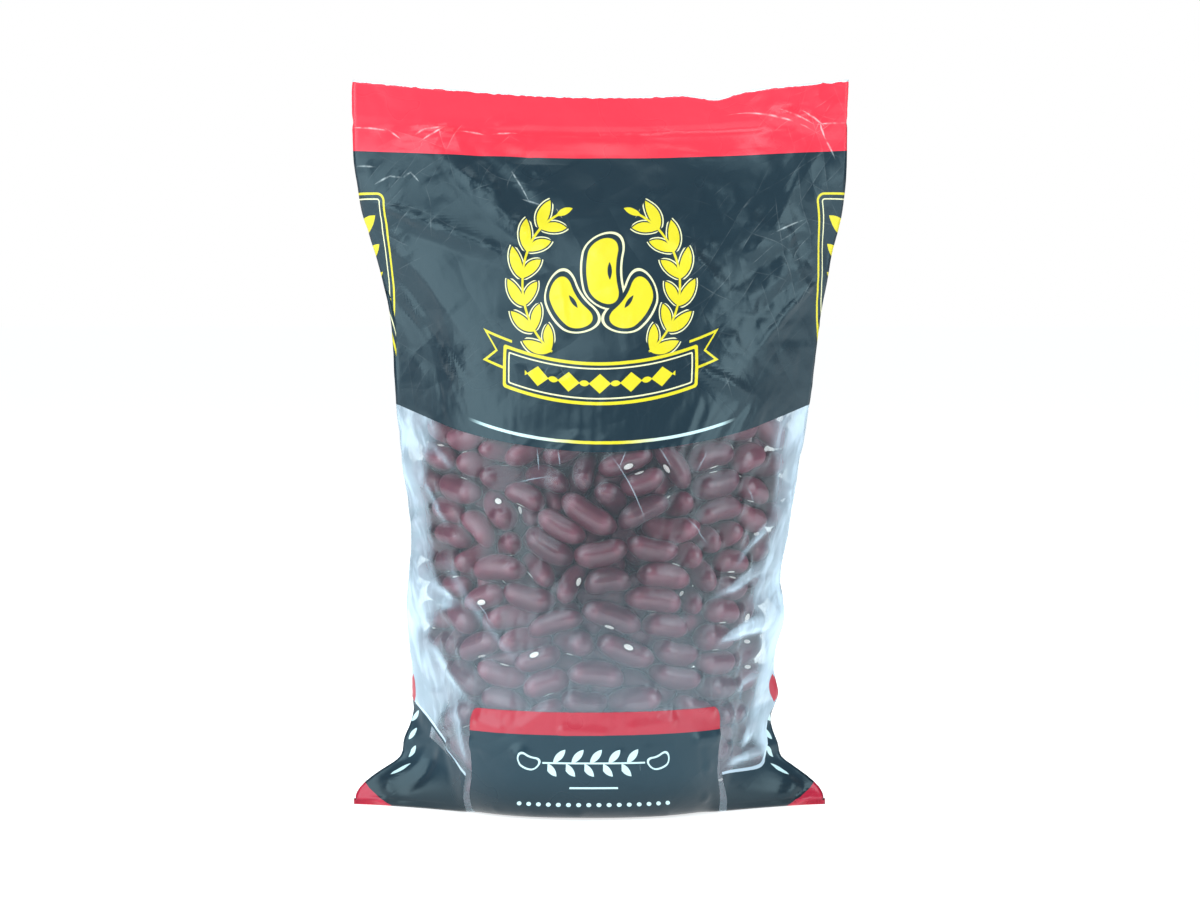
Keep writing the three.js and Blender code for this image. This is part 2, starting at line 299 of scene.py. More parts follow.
def push_apart(beans, size, pairs, inertia, shift, turn, touches):
    """Adds to the shifts and turns what overlapping beans do to each other."""
    middle, axis, radius, core = beans
    first, second = pairs
    half = core * size
    s, t = nearest_on_cores(
        middle[first], axis[first], half[first], middle[second], axis[second], half[second]
    )
    line = middle[second] + axis[second] * t[:, None] - middle[first] - axis[first] * s[:, None]
    gap = np.linalg.norm(line, axis=1)
    push = (radius[first] + radius[second]) * size - gap
    hit = push > 0
    a, b, s, t, push = first[hit], second[hit], s[hit], t[hit], push[hit]
    way = line[hit] / np.maximum(gap[hit], 1e-6)[:, None]
    share = push / (2 + s**2 / inertia[a] + t**2 / inertia[b])
    np.add.at(shift, a, -way * share[:, None])
    np.add.at(shift, b, way * share[:, None])
    np.add.at(turn, a, -way * (share * s / inertia[a])[:, None])
    np.add.at(turn, b, way * (share * t / inertia[b])[:, None])
    np.add.at(touches, a, 1)
    np.add.at(touches, b, 1)


def push_inside(beans, size, table, inertia, shift, turn, touches):
    """Adds to the shifts and turns what the film, the floor and the top of the fill do to each bean."""
    middle, axis, radius, core = beans
    half = core * size
    for end in (-1, 0, 1):
        reach = end * half
        point = middle + axis * reach[:, None]
        away, inward = wall_gap(table, point)
        spare = WALL_CLEARANCE + TOP_CLEARANCE * smoothstep(point[:, 2], SLACK_FROM, FILL_TOP)
        spare += LOW_CLEARANCE * (1 - smoothstep(point[:, 2], *LOW_BAND))
        push = np.clip(radius * size + spare - away, 0, MOST_PUSH)
        share = push / (1 + reach**2 / inertia)
        shift += inward * share[:, None]
        turn += inward * (share * reach / inertia)[:, None]
        touches += push > 0
        for level, sign in ((FLOOR_LEVEL, 1), (FILL_TOP, -1)):
            push = np.clip(radius * size - sign * (point[:, 2] - level), 0, MOST_PUSH)
            share = push / (1 + reach**2 / inertia)
            shift[:, 2] += sign * share
            turn[:, 2] += sign * share * reach / inertia
            touches += push > 0
        if end == 0:
            free = away - radius * size
            loose = np.clip(1 - free / PRESS_REACH, 0, 1) * (free > 0)
            shift -= inward * (OUTWARD_PRESS * loose)[:, None]


def settle_beans():
    """Middles, axes, radii and half core lengths of the beans, packed inside the film."""
    random = np.random.default_rng(BEAN_SEED)
    table = wall_table()
    beans = scatter_beans(random, table)
    middle, axis, radius, core = beans
    inertia = core**2 / 3 + 0.4 * radius**2
    pairs = None
    for step in range(SETTLE_ROUNDS):
        size = min(1.0, START_SIZE + (1 - START_SIZE) * step / GROW_ROUNDS)
        if step % NEIGHBOUR_EVERY == 0:
            pairs = near_pairs(middle, core + radius)
        shift = np.zeros_like(middle)
        shift[:, 2] -= SINK
        turn = np.zeros_like(axis)
        touches = np.zeros(BEAN_COUNT)
        push_apart(beans, size, pairs, inertia, shift, turn, touches)
        push_inside(beans, size, table, inertia, shift, turn, touches)
        ease = EASE * np.minimum(1, FREE_TOUCHES / np.maximum(touches, 1))[:, None]
        middle += shift * ease
        axis += turn * ease
        axis[:, 2] *= LEVEL_PULL
        axis /= np.linalg.norm(axis, axis=1, keepdims=True)
    return beans


# Rays towards the beans start this far outside the film; a ray that misses reads as a deep hollow
PROBE = 25.0
NO_BEAN = -9.0


def capsule_height(start, way, middle, axis, half_core, radius):
    """Height over the film at which rays first meet one capsule."""
    core = axis * 2 * half_core
    offset = start - (middle - axis * half_core)
    core_square = core @ core
    way_along = way @ core
    offset_along = offset @ core
    closing = (way * offset).sum(1)
    lead = np.maximum(core_square - way_along**2, 1e-6)
    linear = core_square * closing - offset_along * way_along
    rest = core_square * (offset * offset).sum(1) - offset_along**2 - radius * radius * core_square
    side_root = linear * linear - lead * rest
    on_side = (-linear - np.sqrt(np.maximum(side_root, 0))) / lead
    run = offset_along + on_side * way_along
    on_body = (run > 0) & (run < core_square)
    end = np.where((run <= 0)[:, None], offset, start - (middle + axis * half_core))
    end_closing = (way * end).sum(1)
    end_rest = (end * end).sum(1) - radius * radius
    cap_root = end_closing * end_closing - end_rest
    on_cap = -end_closing - np.sqrt(np.maximum(cap_root, 0))
    found = np.where(on_body, on_side, on_cap)
    meets = (side_root >= 0) & (on_body | (cap_root > 0))
    return np.where(meets, PROBE - found, NO_BEAN)


def bean_relief(film, normal, beans, grow):
    """Height over the smooth film of the beans under each of its points."""
    relief = np.full(film.shape[:2], NO_BEAN)
    height_of_row = film[:, 0, 2]
    for middle, axis, radius, core in zip(*beans):
        reach = radius + core + 3
        low = max(int(np.searchsorted(height_of_row, middle[2] - reach)) - 2, 0)
        high = min(int(np.searchsorted(height_of_row, middle[2] + reach)) + 2, len(film))
        band = film[low:high]
        near = ((band - middle) ** 2).sum(2) < (reach + 6) ** 2
        if not near.any():
            continue
        outside = normal[low:high][near]
        start = band[near] + outside * PROBE
        height = capsule_height(start, -outside, middle, axis, core, radius + grow)
        patch = relief[low:high]
        patch[near] = np.maximum(patch[near], height)
    return relief


# In the next lists a side is 0 for the front and 1 for the back, and a place on the film is
# (across, height): millimetres from the middle of that side and up.

# Sharp folds of the film: side, start, end, rise of the ridge, reach of the flat on its left
# and on its right
KINKS = [
    (0, (-70, 173), (-18, 153), 1.7, 22, 5),
    (0, (-68, 149), (-43, 121), -1.9, 10, 24),
    (0, (-44, 184), (-19, 160), 0.8, 7, 4),
    (0, (-33, 182), (-27, 166), 0.6, 3, 6),
    (0, (24, 160), (35, 146), 0.8, 4, 7),
    (0, (35, 146), (58, 160), -1.1, 6, 6),
    (0, (33, 164), (58, 165), 0.9, 4, 8),
    (0, (40, 170), (61, 150), 0.7, 5, 5),
    (0, (58, 184), (50, 164), 0.8, 5, 5),
    (0, (30, 138), (54, 142), -0.8, 5, 5),
    (0, (44, 128), (66, 150), 0.9, 6, 6),
    (0, (22, 128), (44, 118), 0.6, 6, 5),
    (0, (-30, 128), (-8, 121), 0.5, 5, 6),
    (0, (-69.5, 2.4), (-60, 1.4), 0.6, 1.6, 1.6),
    (0, (-66, 9), (-58, 2), 0.7, 2, 3),
    (0, (-57.5, 17), (-54, 6), -1.0, 3, 5),
    (0, (60, 1.4), (69.5, 2.4), 0.6, 1.6, 1.6),
    (0, (58, 2), (66, 8), 0.7, 3, 2),
    (0, (-46, 190), (-20, 193), 0.5, 2, 3),
    (0, (46, 196), (66, 191), 0.6, 3, 3),
    (1, (-66, 168), (-20, 150), 1.5, 16, 6),
    (1, (66, 160), (30, 128), -1.8, 18, 9),
    (1, (-60, 140), (-34, 120), -1.4, 8, 12),
    (1, (4, 182), (26, 162), 0.9, 6, 5),
    (1, (-20, 176), (-8, 150), 0.7, 5, 5),
    (1, (36, 182), (50, 162), 0.7, 5, 5),
]

# Crinkled patches of the print: side, across and height of the middle, half width, half height, strength
WORN_PATCHES = [
    (0, -38, 190.5, 16, 1.8, 1.0), (0, -52, 188, 14, 2.5, 0.8), (0, 58, 191, 12, 3.2, 1.0),
    (0, 8, 191.5, 26, 1.3, 0.5), (0, 62, 196, 8, 5, 0.7), (0, 44, 199, 12, 3, 0.5),
    (0, -58, 177, 12, 6, 0.8), (0, -24, 176, 7, 9, 0.6), (0, -62, 160, 6, 7, 0.7),
    (0, 46, 158, 20, 17, 0.9), (0, 60, 176, 9, 12, 0.7), (0, 40, 134, 22, 10, 0.5),
    (0, -34, 130, 20, 7, 0.25), (0, 4, 120, 34, 6, 0.2), (0, -64, 128, 8, 14, 0.3),
    (0, -62, 14, 8, 8, 0.5), (0, 62, 14, 8, 8, 0.5), (0, 0, 14, 40, 12, 0.2),
    (1, 0, 190.5, 52, 1.8, 0.7), (1, -40, 164, 20, 16, 0.8), (1, 44, 150, 18, 18, 0.8),
    (1, 4, 170, 14, 12, 0.5), (1, 0, 128, 44, 9, 0.4), (1, 0, 14, 60, 12, 0.3),
]

# Loose film that stands off the beans in a widening fold: side, point, open end, half width
# at the open end, rise there, paleness (cloudy film with painted glare, and a painted highlight along
# one edge)
LOBES = [
    (0, (39, 49.3), (72, 55.5), 4.4, 2.6, 0.95),
    (0, (35, 61), (72, 73), 3.4, 1.2, 0.5),
    (0, (44, 70), (70, 88), 2.6, 0.9, 0.42),
    (0, (50, 34), (72, 42), 2.6, 1.2, 0.5),
    (0, (54, 17.5), (71, 30), 4.0, 1.4, 0.75),
    (0, (44, 13.5), (66, 17), 1.8, 0.6, 0.45),
    (0, (-44, 59), (-72, 62), 8.5, 1.6, 0.62),
    (0, (-38, 31), (-72, 47), 8.0, 1.3, 0.50),
    (0, (-21, 43), (-47, 66), 1.6, 0.5, 0.15),
    (0, (-50, 80), (-70, 100), 2.6, 0.8, 0.36),
    (0, (-46, 96), (-66, 110), 1.8, 0.6, 0.30),
    (0, (-38, 14), (-48, 32), 3.0, 0.6, 0.34),
    (1, (-46, 47), (-72, 66), 7.0, 2.0, 0.45),
    (1, (-40, 82), (-70, 98), 5.0, 1.2, 0.32),
    (1, (-46, 16), (-70, 34), 6.0, 1.3, 0.4),
    (1, (44, 64), (72, 84), 7.0, 1.8, 0.45),
    (1, (48, 96), (70, 104), 4.0, 1.0, 0.3),
    (1, (48, 22), (71, 44), 7.0, 1.4, 0.4),
]

# Pale crease lines in the front of the header and along the seal, crinkled print with painted glints:
# start and end
CREASE_WEAR_GLINTS = [
    ((-68.6, 180.2), (-64.1, 180.1)), ((-63.7, 175.8), (-59.3, 177.8)), ((-59.3, 177.6), (-55.7, 177.4)),
    ((-55.7, 177.4), (-53.4, 178.8)), ((-53.4, 178.8), (-51.4, 176.7)), ((-25.4, 181.2), (-20.5, 172.5)),
    ((-21.9, 172.0), (-17.6, 170.8)), ((-68.9, 190.5), (-60.3, 190.2)), ((-60.3, 190.4), (-56.8, 188.3)),
    ((-52.0, 189.5), (-49.6, 190.9)), ((-49.9, 190.9), (-43.8, 191.9)), ((-50.2, 188.2), (-44.2, 191.7)),
    ((-38.6, 190.8), (-33.1, 190.2)), ((-30.0, 190.5), (-24.2, 191.0)), ((57.5, 194.8), (62.5, 191.5)),
    ((62.1, 191.6), (69.2, 191.4)), ((62.0, 191.4), (63.5, 188.3)), ((63.5, 188.3), (66.3, 182.8)),
    ((39.4, 196.8), (59.5, 191.5)), ((51.6, 195.7), (59.1, 192.3)), ((49.2, 162.8), (57.3, 166.0)),
]

# Hair lines in the clear film: start and end
SCRATCHES = [
    ((-18.6, 103), (-18.0, 97.5)), ((-24, 94), (-16, 95.5)), ((-12.4, 102.5), (-11.8, 98.5)),
    ((4, 101), (13.6, 84.5)), ((7, 102.5), (5.2, 98)), ((17, 103), (20, 98.5)), ((31, 102), (28.5, 97)),
    ((26, 84), (33, 77)), ((-38, 61), (-30, 54)), ((47, 92), (51, 87.5)),
]

# Where the pale film at the side creases ends, cloudy with painted glare of film seen at a glancing
# angle: height, distance from the crease
PALE_LEFT = [
    (14, 4), (24, 14), (34, 27), (42, 17), (49, 9), (60, 19), (70, 10), (86, 10),
    (98, 11), (106, 17), (114, 17),
]
PALE_RIGHT = [
    (12, 9), (25, 12), (34, 9), (45, 8), (60, 17), (70, 13), (82, 9), (98, 11), (106, 16), (114, 16),
]

# Outward pushes at the side creases: sign of the side, height, half height, reach round it, amount
SIDE_PUSHES = [
    (1, 53, 9, 16, 2.4), (1, 32, 5.5, 3.2, 2.6), (-1, 55, 11, 16, 1.3),
    (-1, 14, 3.5, 9, -1.9), (1, 14, 3, 7, -1.3),
]


def tube_place(side, across):
    """Place round the tube, from 0 at the left crease, of a distance across the front or the back."""
    return across + FLAT_WIDTH / 2 if side == 0 else FLAT_WIDTH * 1.5 - across


def way_round(distance):
    """A distance round the tube, taken the shorter way, with its sign."""
    return (distance + FLAT_WIDTH) % (2 * FLAT_WIDTH) - FLAT_WIDTH


def on_line(place, height, side, start, end):
    """Share along a line on the film, and distance to its left, both over the whole film."""
    start_place = tube_place(side, start[0])
    run = tube_place(side, end[0]) - start_place
    rise = end[1] - start[1]
    length = math.hypot(run, rise)
    over = way_round(place - start_place)
    up = height - start[1]
    return (over * run + up * rise) / length**2, (up * run - over * rise) / length


def kink_relief(place, height):
    """Folds with a flat on each side of a sharp ridge, and how near each place is to a ridge."""
    relief = np.zeros(place.shape)
    ridge = np.zeros(place.shape)
    for side, start, end, rise, left, right in KINKS:
        share, aside = on_line(place, height, side, start, end)
        flat = np.clip(1 - np.where(aside > 0, aside / left, -aside / right), 0, 1)
        ends = smoothstep(share, -0.2, 0.3) * (1 - smoothstep(share, 0.7, 1.2))
        relief += rise * flat * ends
        ridge = np.maximum(ridge, ends * np.exp(-((aside / 2.2) ** 2)))
    return relief, ridge


def wear_of_print(place, height):
    """Where the print is handled and crinkled: in patches and along the folds."""
    wear = 0.7 * kink_relief(place, height)[1]
    for side, across, middle, half_width, half_height, strength in WORN_PATCHES:
        off = way_round(place - tube_place(side, across))
        patch = strength * np.exp(-((off / half_width) ** 2) - ((height - middle) / half_height) ** 2)
        wear = np.maximum(wear, patch)
    patchy = 0.75 + 0.5 * triangles(place, height, 9, 51)
    return np.clip(wear * patchy, 0, 1)


def lobe_relief(place, height):
    """Rise of the loose folds, and how pale the film is in them: cloudy, with painted glare and a
    painted highlight along one edge.
    """
    relief = np.zeros(place.shape)
    pale = np.zeros(place.shape)
    for side, start, end, half, rise, strength in LOBES:
        share, aside = on_line(place, height, side, start, end)
        open_half = np.maximum(half * np.clip(share, 0, 1.3) ** 0.8, 0.9)
        across = np.abs(aside) / open_half
        within = smoothstep(share, -0.03, 0.3) * (1 - smoothstep(share, 1.0, 1.3))
        relief += rise * np.clip(share, 0, 1) * within * np.exp(-(across**2))
        bright = 0.6 * (1 - smoothstep(across, 0.4, 1.3))
        # Painted highlight: a bright line along one edge of the fold
        bright += 0.5 * np.exp(-(((aside + 0.75 * open_half) / np.maximum(0.3 * open_half, 0.7)) ** 2))
        pale = np.maximum(pale, strength * within * np.clip(bright, 0, 1))
    return relief, pale


def pale_film(place, height):
    """How pale the loose clear film is: cloudy, with the painted glare of film seen at a glancing angle,
    at its sides and in its open folds.
    """
    round_front = (place + FLAT_WIDTH / 2) % (2 * FLAT_WIDTH) - FLAT_WIDTH / 2
    from_left = np.abs(round_front)
    from_left = np.minimum(from_left, 2 * FLAT_WIDTH - from_left)
    from_right = np.abs(round_front - FLAT_WIDTH)
    flow = 2.2 * triangles(place, height * 0.35, 9, 31) + 1.3 * triangles(place, height * 0.6, 4, 32)
    streaks = 0.72 + 0.2 * triangles(place, height * 0.3 + 0.4 * place, 5, 33)
    streaks = streaks + 0.16 * triangles(place, height * 0.8, 8, 34)
    pale = np.zeros(place.shape)
    for crease, table in ((from_left, PALE_LEFT), (from_right, PALE_RIGHT)):
        reach = along(table, height) + flow
        sheet = 0.5 * (1 - smoothstep(crease, 0.6 * reach, 1.05 * reach + 1.5))
        # Painted highlight: a brighter rim close to each crease
        rim = 0.3 * (1 - smoothstep(crease, 1, 0.7 * reach + 1.5))
        pale = np.maximum(pale, (sheet + rim) * streaks)
    crease = np.minimum(from_left, from_right)
    in_lobes = lobe_relief(place, height)[1] * (0.25 + 0.75 * smoothstep(crease, 1, 13))
    return np.maximum(pale, in_lobes)


def triangles(place, height, cell, seed):
    """Flat triangles with random heights from -1 to 1 at their corners, as crumpled film has."""
    random = np.random.default_rng(seed)
    count = round(2 * FLAT_WIDTH / cell)
    step = 2 * FLAT_WIDTH / count
    levels = random.uniform(-1, 1, (count, int(260 / step) + 6))
    x, z = place / step, height / (0.87 * step)
    warp = np.zeros((2,) + place.shape)
    for _ in range(5):
        turns = random.integers(2, max(3, count // 2))
        wave = 2 * math.pi * (turns * place / (2 * FLAT_WIDTH) + height / (cell * random.uniform(2, 5)))
        warp[0] += 0.22 * np.sin(wave + random.uniform(0, 6))
        warp[1] += 0.22 * np.sin(wave * random.choice((-1, 1)) + random.uniform(0, 6))
    x = x + warp[0] + 0.5 * (z + warp[1])
    z = z + warp[1] + 2
    i, j = np.floor(x).astype(int), np.floor(z).astype(int)
    s, t = x - i, z - j
    j = np.clip(j, 0, levels.shape[1] - 2)
    low = levels[i % count, j]
    high = levels[(i + 1) % count, j + 1]
    right = levels[(i + 1) % count, j]
    left = levels[i % count, j + 1]
    under = low * (1 - s) + right * (s - t) + high * t
    over = low * (1 - t) + left * (t - s) + high * s
    return np.where(s > t, under, over)


# Crumpled places of the header: across, height, half width, half height, strength
CRUMPLED = [(42, 150, 24, 24, 1), (-34, 172, 20, 12, 0.5)]


def crumple(place, height):
    """Crumpled flats of the empty header and, less, of the clear film at the sides."""
    across = (place % FLAT_WIDTH) - FLAT_WIDTH / 2
    header = smoothstep(height, *HEADER_START) * (1 - smoothstep(height, *CRUMPLES_END))
    patch = np.zeros(place.shape)
    for x, z, half_width, half_height, strength in CRUMPLED:
        off = ((across - x) / half_width) ** 2 + ((height - z) / half_height) ** 2
        patch += strength * np.exp(-off)
    side = smoothstep(np.abs(across), 42, 58) * smoothstep(height, 14, 24) * (1 - header)
    seal = np.exp(-(((height - SEAL_FOOT + 2) / 2.5) ** 2))
    wide = triangles(place, height, 15, 41)
    small = triangles(place, height, 6.5, 42)
    fine = triangles(place, height, 3.2, 43)
    return (
        wide * (0.2 * header + 0.3 * header * patch + 0.3 * side)
        + small * (0.05 * header + 0.42 * header * patch + 0.2 * side + 0.18 * seal)
        + fine * (0.02 * header + 0.10 * header * patch + 0.05 * side + 0.10 * seal)
    )


# How the film settles over the beans: lengths in millimetres, holds as shares, rounds at each mesh
EXTRA_LENGTH = 1.006
PRESS_IN = 0.35
BEAN_GROWTH = 0.35
HOLD = 0.012
FULL_HOLD = 0.6
HEADER_HOLD = 0.06
ROUNDS = (260, 160, 70)
STRETCH_STIFFNESS = 0.9
SLANT_STIFFNESS = 0.35
FOLD_STIFFNESS = 0.10
JITTER = 0.35
FILM_SEED = 5
MOST_MOVE = 5.0
NO_FLOOR = -4.0
LOW_LIFT = 0.25
MORE_LIFT = 1.95
OVER_BEANS = 0.1
MOST_BURIED = 3


def pull(a, b, rest, stiff):
    """Moves two sets of points towards their rest distance."""
    way = b - a
    length = np.sqrt((way * way).sum(-1, keepdims=True))
    way *= stiff * 0.5 * (1 - rest / np.maximum(length, 1e-6))
    a += way
    b -= way


def settle_film(film, target, smooth, normal, floor, hold, across, up, rounds):
    """Relaxes the film to its cut size over the beans, near its target."""
    slant = np.sqrt(across[:-1] ** 2 + up**2)
    for _ in range(rounds):
        film += hold * (target - film)
        for start in (0, 1):
            right = film[:, start + 1 :: 2]
            pull(film[:, start::2][:, : right.shape[1]], right, across, STRETCH_STIFFNESS)
        pull(film[:, -1], film[:, 0], across[:, 0], STRETCH_STIFFNESS)
        for start in (0, 1):
            below, above = film[start:-1:2], film[start + 1 :: 2]
            count = min(len(below), len(above))
            pull(below[:count], above[:count], up[start::2][:count], STRETCH_STIFFNESS)
            rest = slant[start::2][:count]
            pull(below[:count, :-1], above[:count, 1:], rest, SLANT_STIFFNESS)
            pull(below[:count, 1:], above[:count, :-1], rest, SLANT_STIFFNESS)
        off = film - smooth
        blurred = 0.25 * (np.roll(off, 1, 1) + np.roll(off, -1, 1))
        blurred[1:-1] += 0.25 * (off[2:] + off[:-2])
        blurred[0] += 0.5 * off[0]
        blurred[-1] += 0.5 * off[-1]
        film += FOLD_STIFFNESS * (blurred - off)
        rise = ((film - smooth) * normal).sum(2)
        lift = np.clip(floor - rise, 0, None)
        film += lift[..., None] * normal
    return film


def film_grid(heights, half):
    """Place round the tube and height of every point of the film."""
    place = np.arange(2 * half)[None] * (FLAT_WIDTH / half) + 0 * heights[:, None]
    return place, heights[:, None] + 0 * place


def wanted_moves(place, level):
    """Where the film would go by itself: out in folds and lobes, and in between the beans."""
    filled = smoothstep(level, *FILLED_FROM) * (1 - smoothstep(level, *FILLED_TO))
    crease = np.minimum(place % FLAT_WIDTH, FLAT_WIDTH - place % FLAT_WIDTH)
    filled = filled * smoothstep(crease, 2, 16) * smoothstep(level, *PRESSED_FROM)
    return kink_relief(place, level)[0] + lobe_relief(place, level)[0] - PRESS_IN * filled


def cut_sizes(smooth, heights, half):
    """Rest lengths of the film by row: across, its cut width above the folded bottom, and up."""
    sides = np.linalg.norm(np.roll(smooth, -1, 1) - smooth, axis=2).mean(1)
    cut_size = smoothstep(heights, *CUT_SIZE_FROM)
    across = sides * (1 - cut_size) + FLAT_WIDTH / half * cut_size
    rise = np.sqrt((np.diff(smooth, axis=0) ** 2).sum(2)).mean(1)
    return across[:, None, None], (rise * EXTRA_LENGTH)[:, None, None]


def row_hold(heights, firm):
    """How firmly each row is held at its target: wholly at the base and in the seal."""
    empty = HEADER_HOLD * smoothstep(heights, *HEADER_START)
    hold = HOLD + (FULL_HOLD - HOLD) * np.maximum(firm, empty)
    fixed = (heights < FIXED_BELOW) | (heights > FIXED_ABOVE)
    return np.where(fixed, 1.0, hold)[:, None, None]


def finer(moved, shape):
    """The moves of a coarse film on a mesh with twice its rows and columns."""
    wide = np.zeros((moved.shape[0], shape[1], 3))
    wide[:, ::2] = moved
    wide[:, 1::2] = (moved + np.roll(moved, -1, 1)) / 2
    fine = np.zeros(shape)
    fine[::2] = wide
    fine[1::2] = (wide[1:] + wide[:-1]) / 2
    return fine


def wrap_film(beans):
    """The smooth film, its moves over the beans, its normals, the beans' relief and its grid."""
    random = np.random.default_rng(FILM_SEED)
    moved = None
    for coarser, rounds in zip(COARSER, ROUNDS):
        half = HALF_COLUMNS // coarser
        heights = np.linspace(0, SEAL_TOP, ROWS // coarser + 1)
        smooth = smooth_film(heights, half)
        normal = outward(smooth)
        relief = bean_relief(smooth, normal, beans, BEAN_GROWTH)
        place, level = film_grid(heights, half)
        target = smooth + wanted_moves(place, level)[..., None] * normal
        across, up = cut_sizes(smooth, heights, half)
        firm = np.maximum(1 - smoothstep(heights, *FIRM_BELOW), smoothstep(heights, *SEALED_FROM))
        hold = row_hold(heights, firm)
        film = target.copy() if moved is None else smooth + finer(moved, smooth.shape)
        noise = random.normal(size=smooth.shape[:2]) * JITTER / (1 + 4 * (coarser == 1))
        film += (noise * (1 - firm)[:, None])[..., None] * normal
        floor = np.where(relief > NO_BEAN, relief, NO_FLOOR)
        floor = np.minimum(floor, LOW_LIFT + MORE_LIFT * smoothstep(level, 5, 22))
        film = settle_film(film, target, smooth, normal, floor, hold, across, up, rounds)
        moved = film - smooth
        size = np.sqrt((moved**2).sum(2, keepdims=True))
        moved *= np.minimum(1, MOST_MOVE / np.maximum(size, 1e-6))
    return smooth, moved, normal, relief, place, level


# Bands of short creases: lowest and highest middle, how many, depth
CREASE_BANDS = [(118, 188, 90, 0.22), (34, 116, 50, 0.12), (3, 34, 20, 0.15)]
CREASE_SEED = 23


def fine_creases(place, height):
    """Short straight creases of handled film, most of them in the empty header."""
    random = np.random.default_rng(CREASE_SEED)
    relief = np.zeros(place.shape)
    row_step = height[1, 0] - height[0, 0]
    column_step = place[0, 1] - place[0, 0]
    for low, high, count, deep in CREASE_BANDS:
        for _ in range(count):
            x = random.uniform(0, 2 * FLAT_WIDTH)
            z = random.uniform(low, high)
            turn = random.uniform(0, math.pi)
            half = random.uniform(2.5, 11)
            wide = random.uniform(0.7, 1.5)
            depth = deep * random.uniform(0.5, 1.3) * random.choice((-1, 1))
            tilt = random.uniform(-0.5, 0.5)
            reach = half + 4 * wide
            lowest = max(int((z - reach) / row_step), 0)
            highest = min(int((z + reach) / row_step) + 1, place.shape[0])
            columns = np.arange(int((x - reach) / column_step), int((x + reach) / column_step) + 1)
            over = columns[None] * column_step - x
            up = (np.arange(lowest, highest) * row_step - z)[:, None]
            run, off = turned(over, up, turn)
            run = run / half
            fade = np.clip(1 - run**2, 0, 1)
            line = depth * fade * np.exp(-np.abs(off / wide + tilt * run**2) ** 1.3)
            relief[lowest:highest, columns % place.shape[1]] += line
    return relief


# Lap seam down the middle of the back, and the pitch of the seal's crimp
LAP_PLACE = 1.5 * FLAT_WIDTH
LAP_RISE = 0.35
CRIMP_PITCH = 1.6
CRIMP_RISE = 0.05
FOOT_DEPTH = 0.35


def seal_relief(place, height):
    """Pressed line at the foot of the top seal, faint crimp above it, lap seam down the back."""
    foot = -FOOT_DEPTH * np.exp(-(((height - SEAL_FOOT + 0.4) / 0.7) ** 2))
    crimp = CRIMP_RISE * np.sin(height * 2 * math.pi / CRIMP_PITCH)
    crimp = crimp * smoothstep(height, SEAL_FOOT, SEAL_FOOT + 1)
    from_lap = place - LAP_PLACE
    lap = LAP_RISE * smoothstep(from_lap, -5.6, -5.0) * (1 - smoothstep(from_lap, 4.4, 5.4))
    lap = lap * smoothstep(height, 2, 6) * (1 - smoothstep(height, *LAP_END))
    return foot + crimp + lap


def shape_film(beans):
    """The finished film: wrapped, crumpled, kept outside the beans, pushed at its sides, sealed."""
    smooth, moved, normal, relief, place, level = wrap_film(beans)
    crumpled = fine_creases(place, level) + crumple(place, level)
    moved = moved + (crumpled * smoothstep(level, 6, 14))[..., None] * normal
    buried = relief + OVER_BEANS - (moved * normal).sum(2)
    film = smooth + moved + np.clip(buried, 0, MOST_BURIED)[..., None] * normal
    for sign, at, half, reach, amount in SIDE_PUSHES:
        off = way_round(place - (FLAT_WIDTH if sign > 0 else 0))
        film[..., 0] += sign * amount * np.exp(-(((level - at) / half) ** 2) - (off / reach) ** 2)
    film = film + seal_relief(place, level)[..., None] * normal
    film[..., 2] = np.maximum(film[..., 2], 0)
    return film, place, level


# Meshes


def bare():
    """Nothing selected, nothing in edit mode."""
    if bpy.context.object and bpy.context.object.mode != "OBJECT":
        bpy.ops.object.mode_set(mode="OBJECT")
    bpy.ops.object.select_all(action="DESELECT")


# Lower edge of the header's print: height in the middle, rise to the creases, how it bows
HEADER_EDGE = 102.2
HEADER_EDGE_RISE = 12.6
HEADER_EDGE_BOW = 1.75
PRINT_MARGIN = 2.5
BASE_DOMING = 0.55
TOP_EDGE = 0.2


def header_edge(across):
    """Height of the header's lower edge by distance from the middle of the front or the back."""
    return HEADER_EDGE + HEADER_EDGE_RISE * (abs(across) / (FLAT_WIDTH / 2)) ** HEADER_EDGE_BOW


def closed_film(film):
    """Rows of the whole film from the middle of the base up to the top edge, each closed on itself."""
    ring = np.concatenate([film, film[:, :1]], 1)
    lowest = ring[0]
    middle = seam_wave(lowest[:, 0], 0)
    rows = []
    for k in range(BASE_ROWS, 0, -1):
        t = k / BASE_ROWS
        row = lowest.copy()
        row[:, 1] = lowest[:, 1] * (1 - t) + middle * t
        row[:, 2] = BASE_DOMING * smoothstep(t * np.abs(lowest[:, 1]), 1, 9)
        rows.append(row)
    top = ring[-1].copy()
    top[:, 1] = (ring[-1, :, 1] + ring[-1, ::-1, 1]) / 2
    top[:, 2] += TOP_EDGE
    return np.concatenate([np.stack(rows), ring, top[None]], 0)


def spread(values, shape):
    """Painted values of the film on the whole shell: none on the base, the first column closes it."""
    painted = np.zeros(shape)
    painted[BASE_ROWS:-1, :-1] = values
    painted[BASE_ROWS:-1, -1] = values[:, 0]
    return painted


def run_from_seal(whole, heights):
    """Distance over the film from the seal under the base, by way of the front or the back."""
    run = np.zeros(whole.shape[:2])
    run[:BASE_ROWS] = np.abs(whole[:BASE_ROWS, :, 1])
    run[BASE_ROWS:-1] = np.abs(whole[BASE_ROWS, :, 1])[None] + heights[:, None]
    run[-1] = run[-2]
    return run


def paint(mesh, name, values):
    """Writes a value for each point of a mesh, under a name."""
    layer = mesh.attributes.new(name, "FLOAT", "POINT")
    layer.data.foreach_set("value", values.ravel())


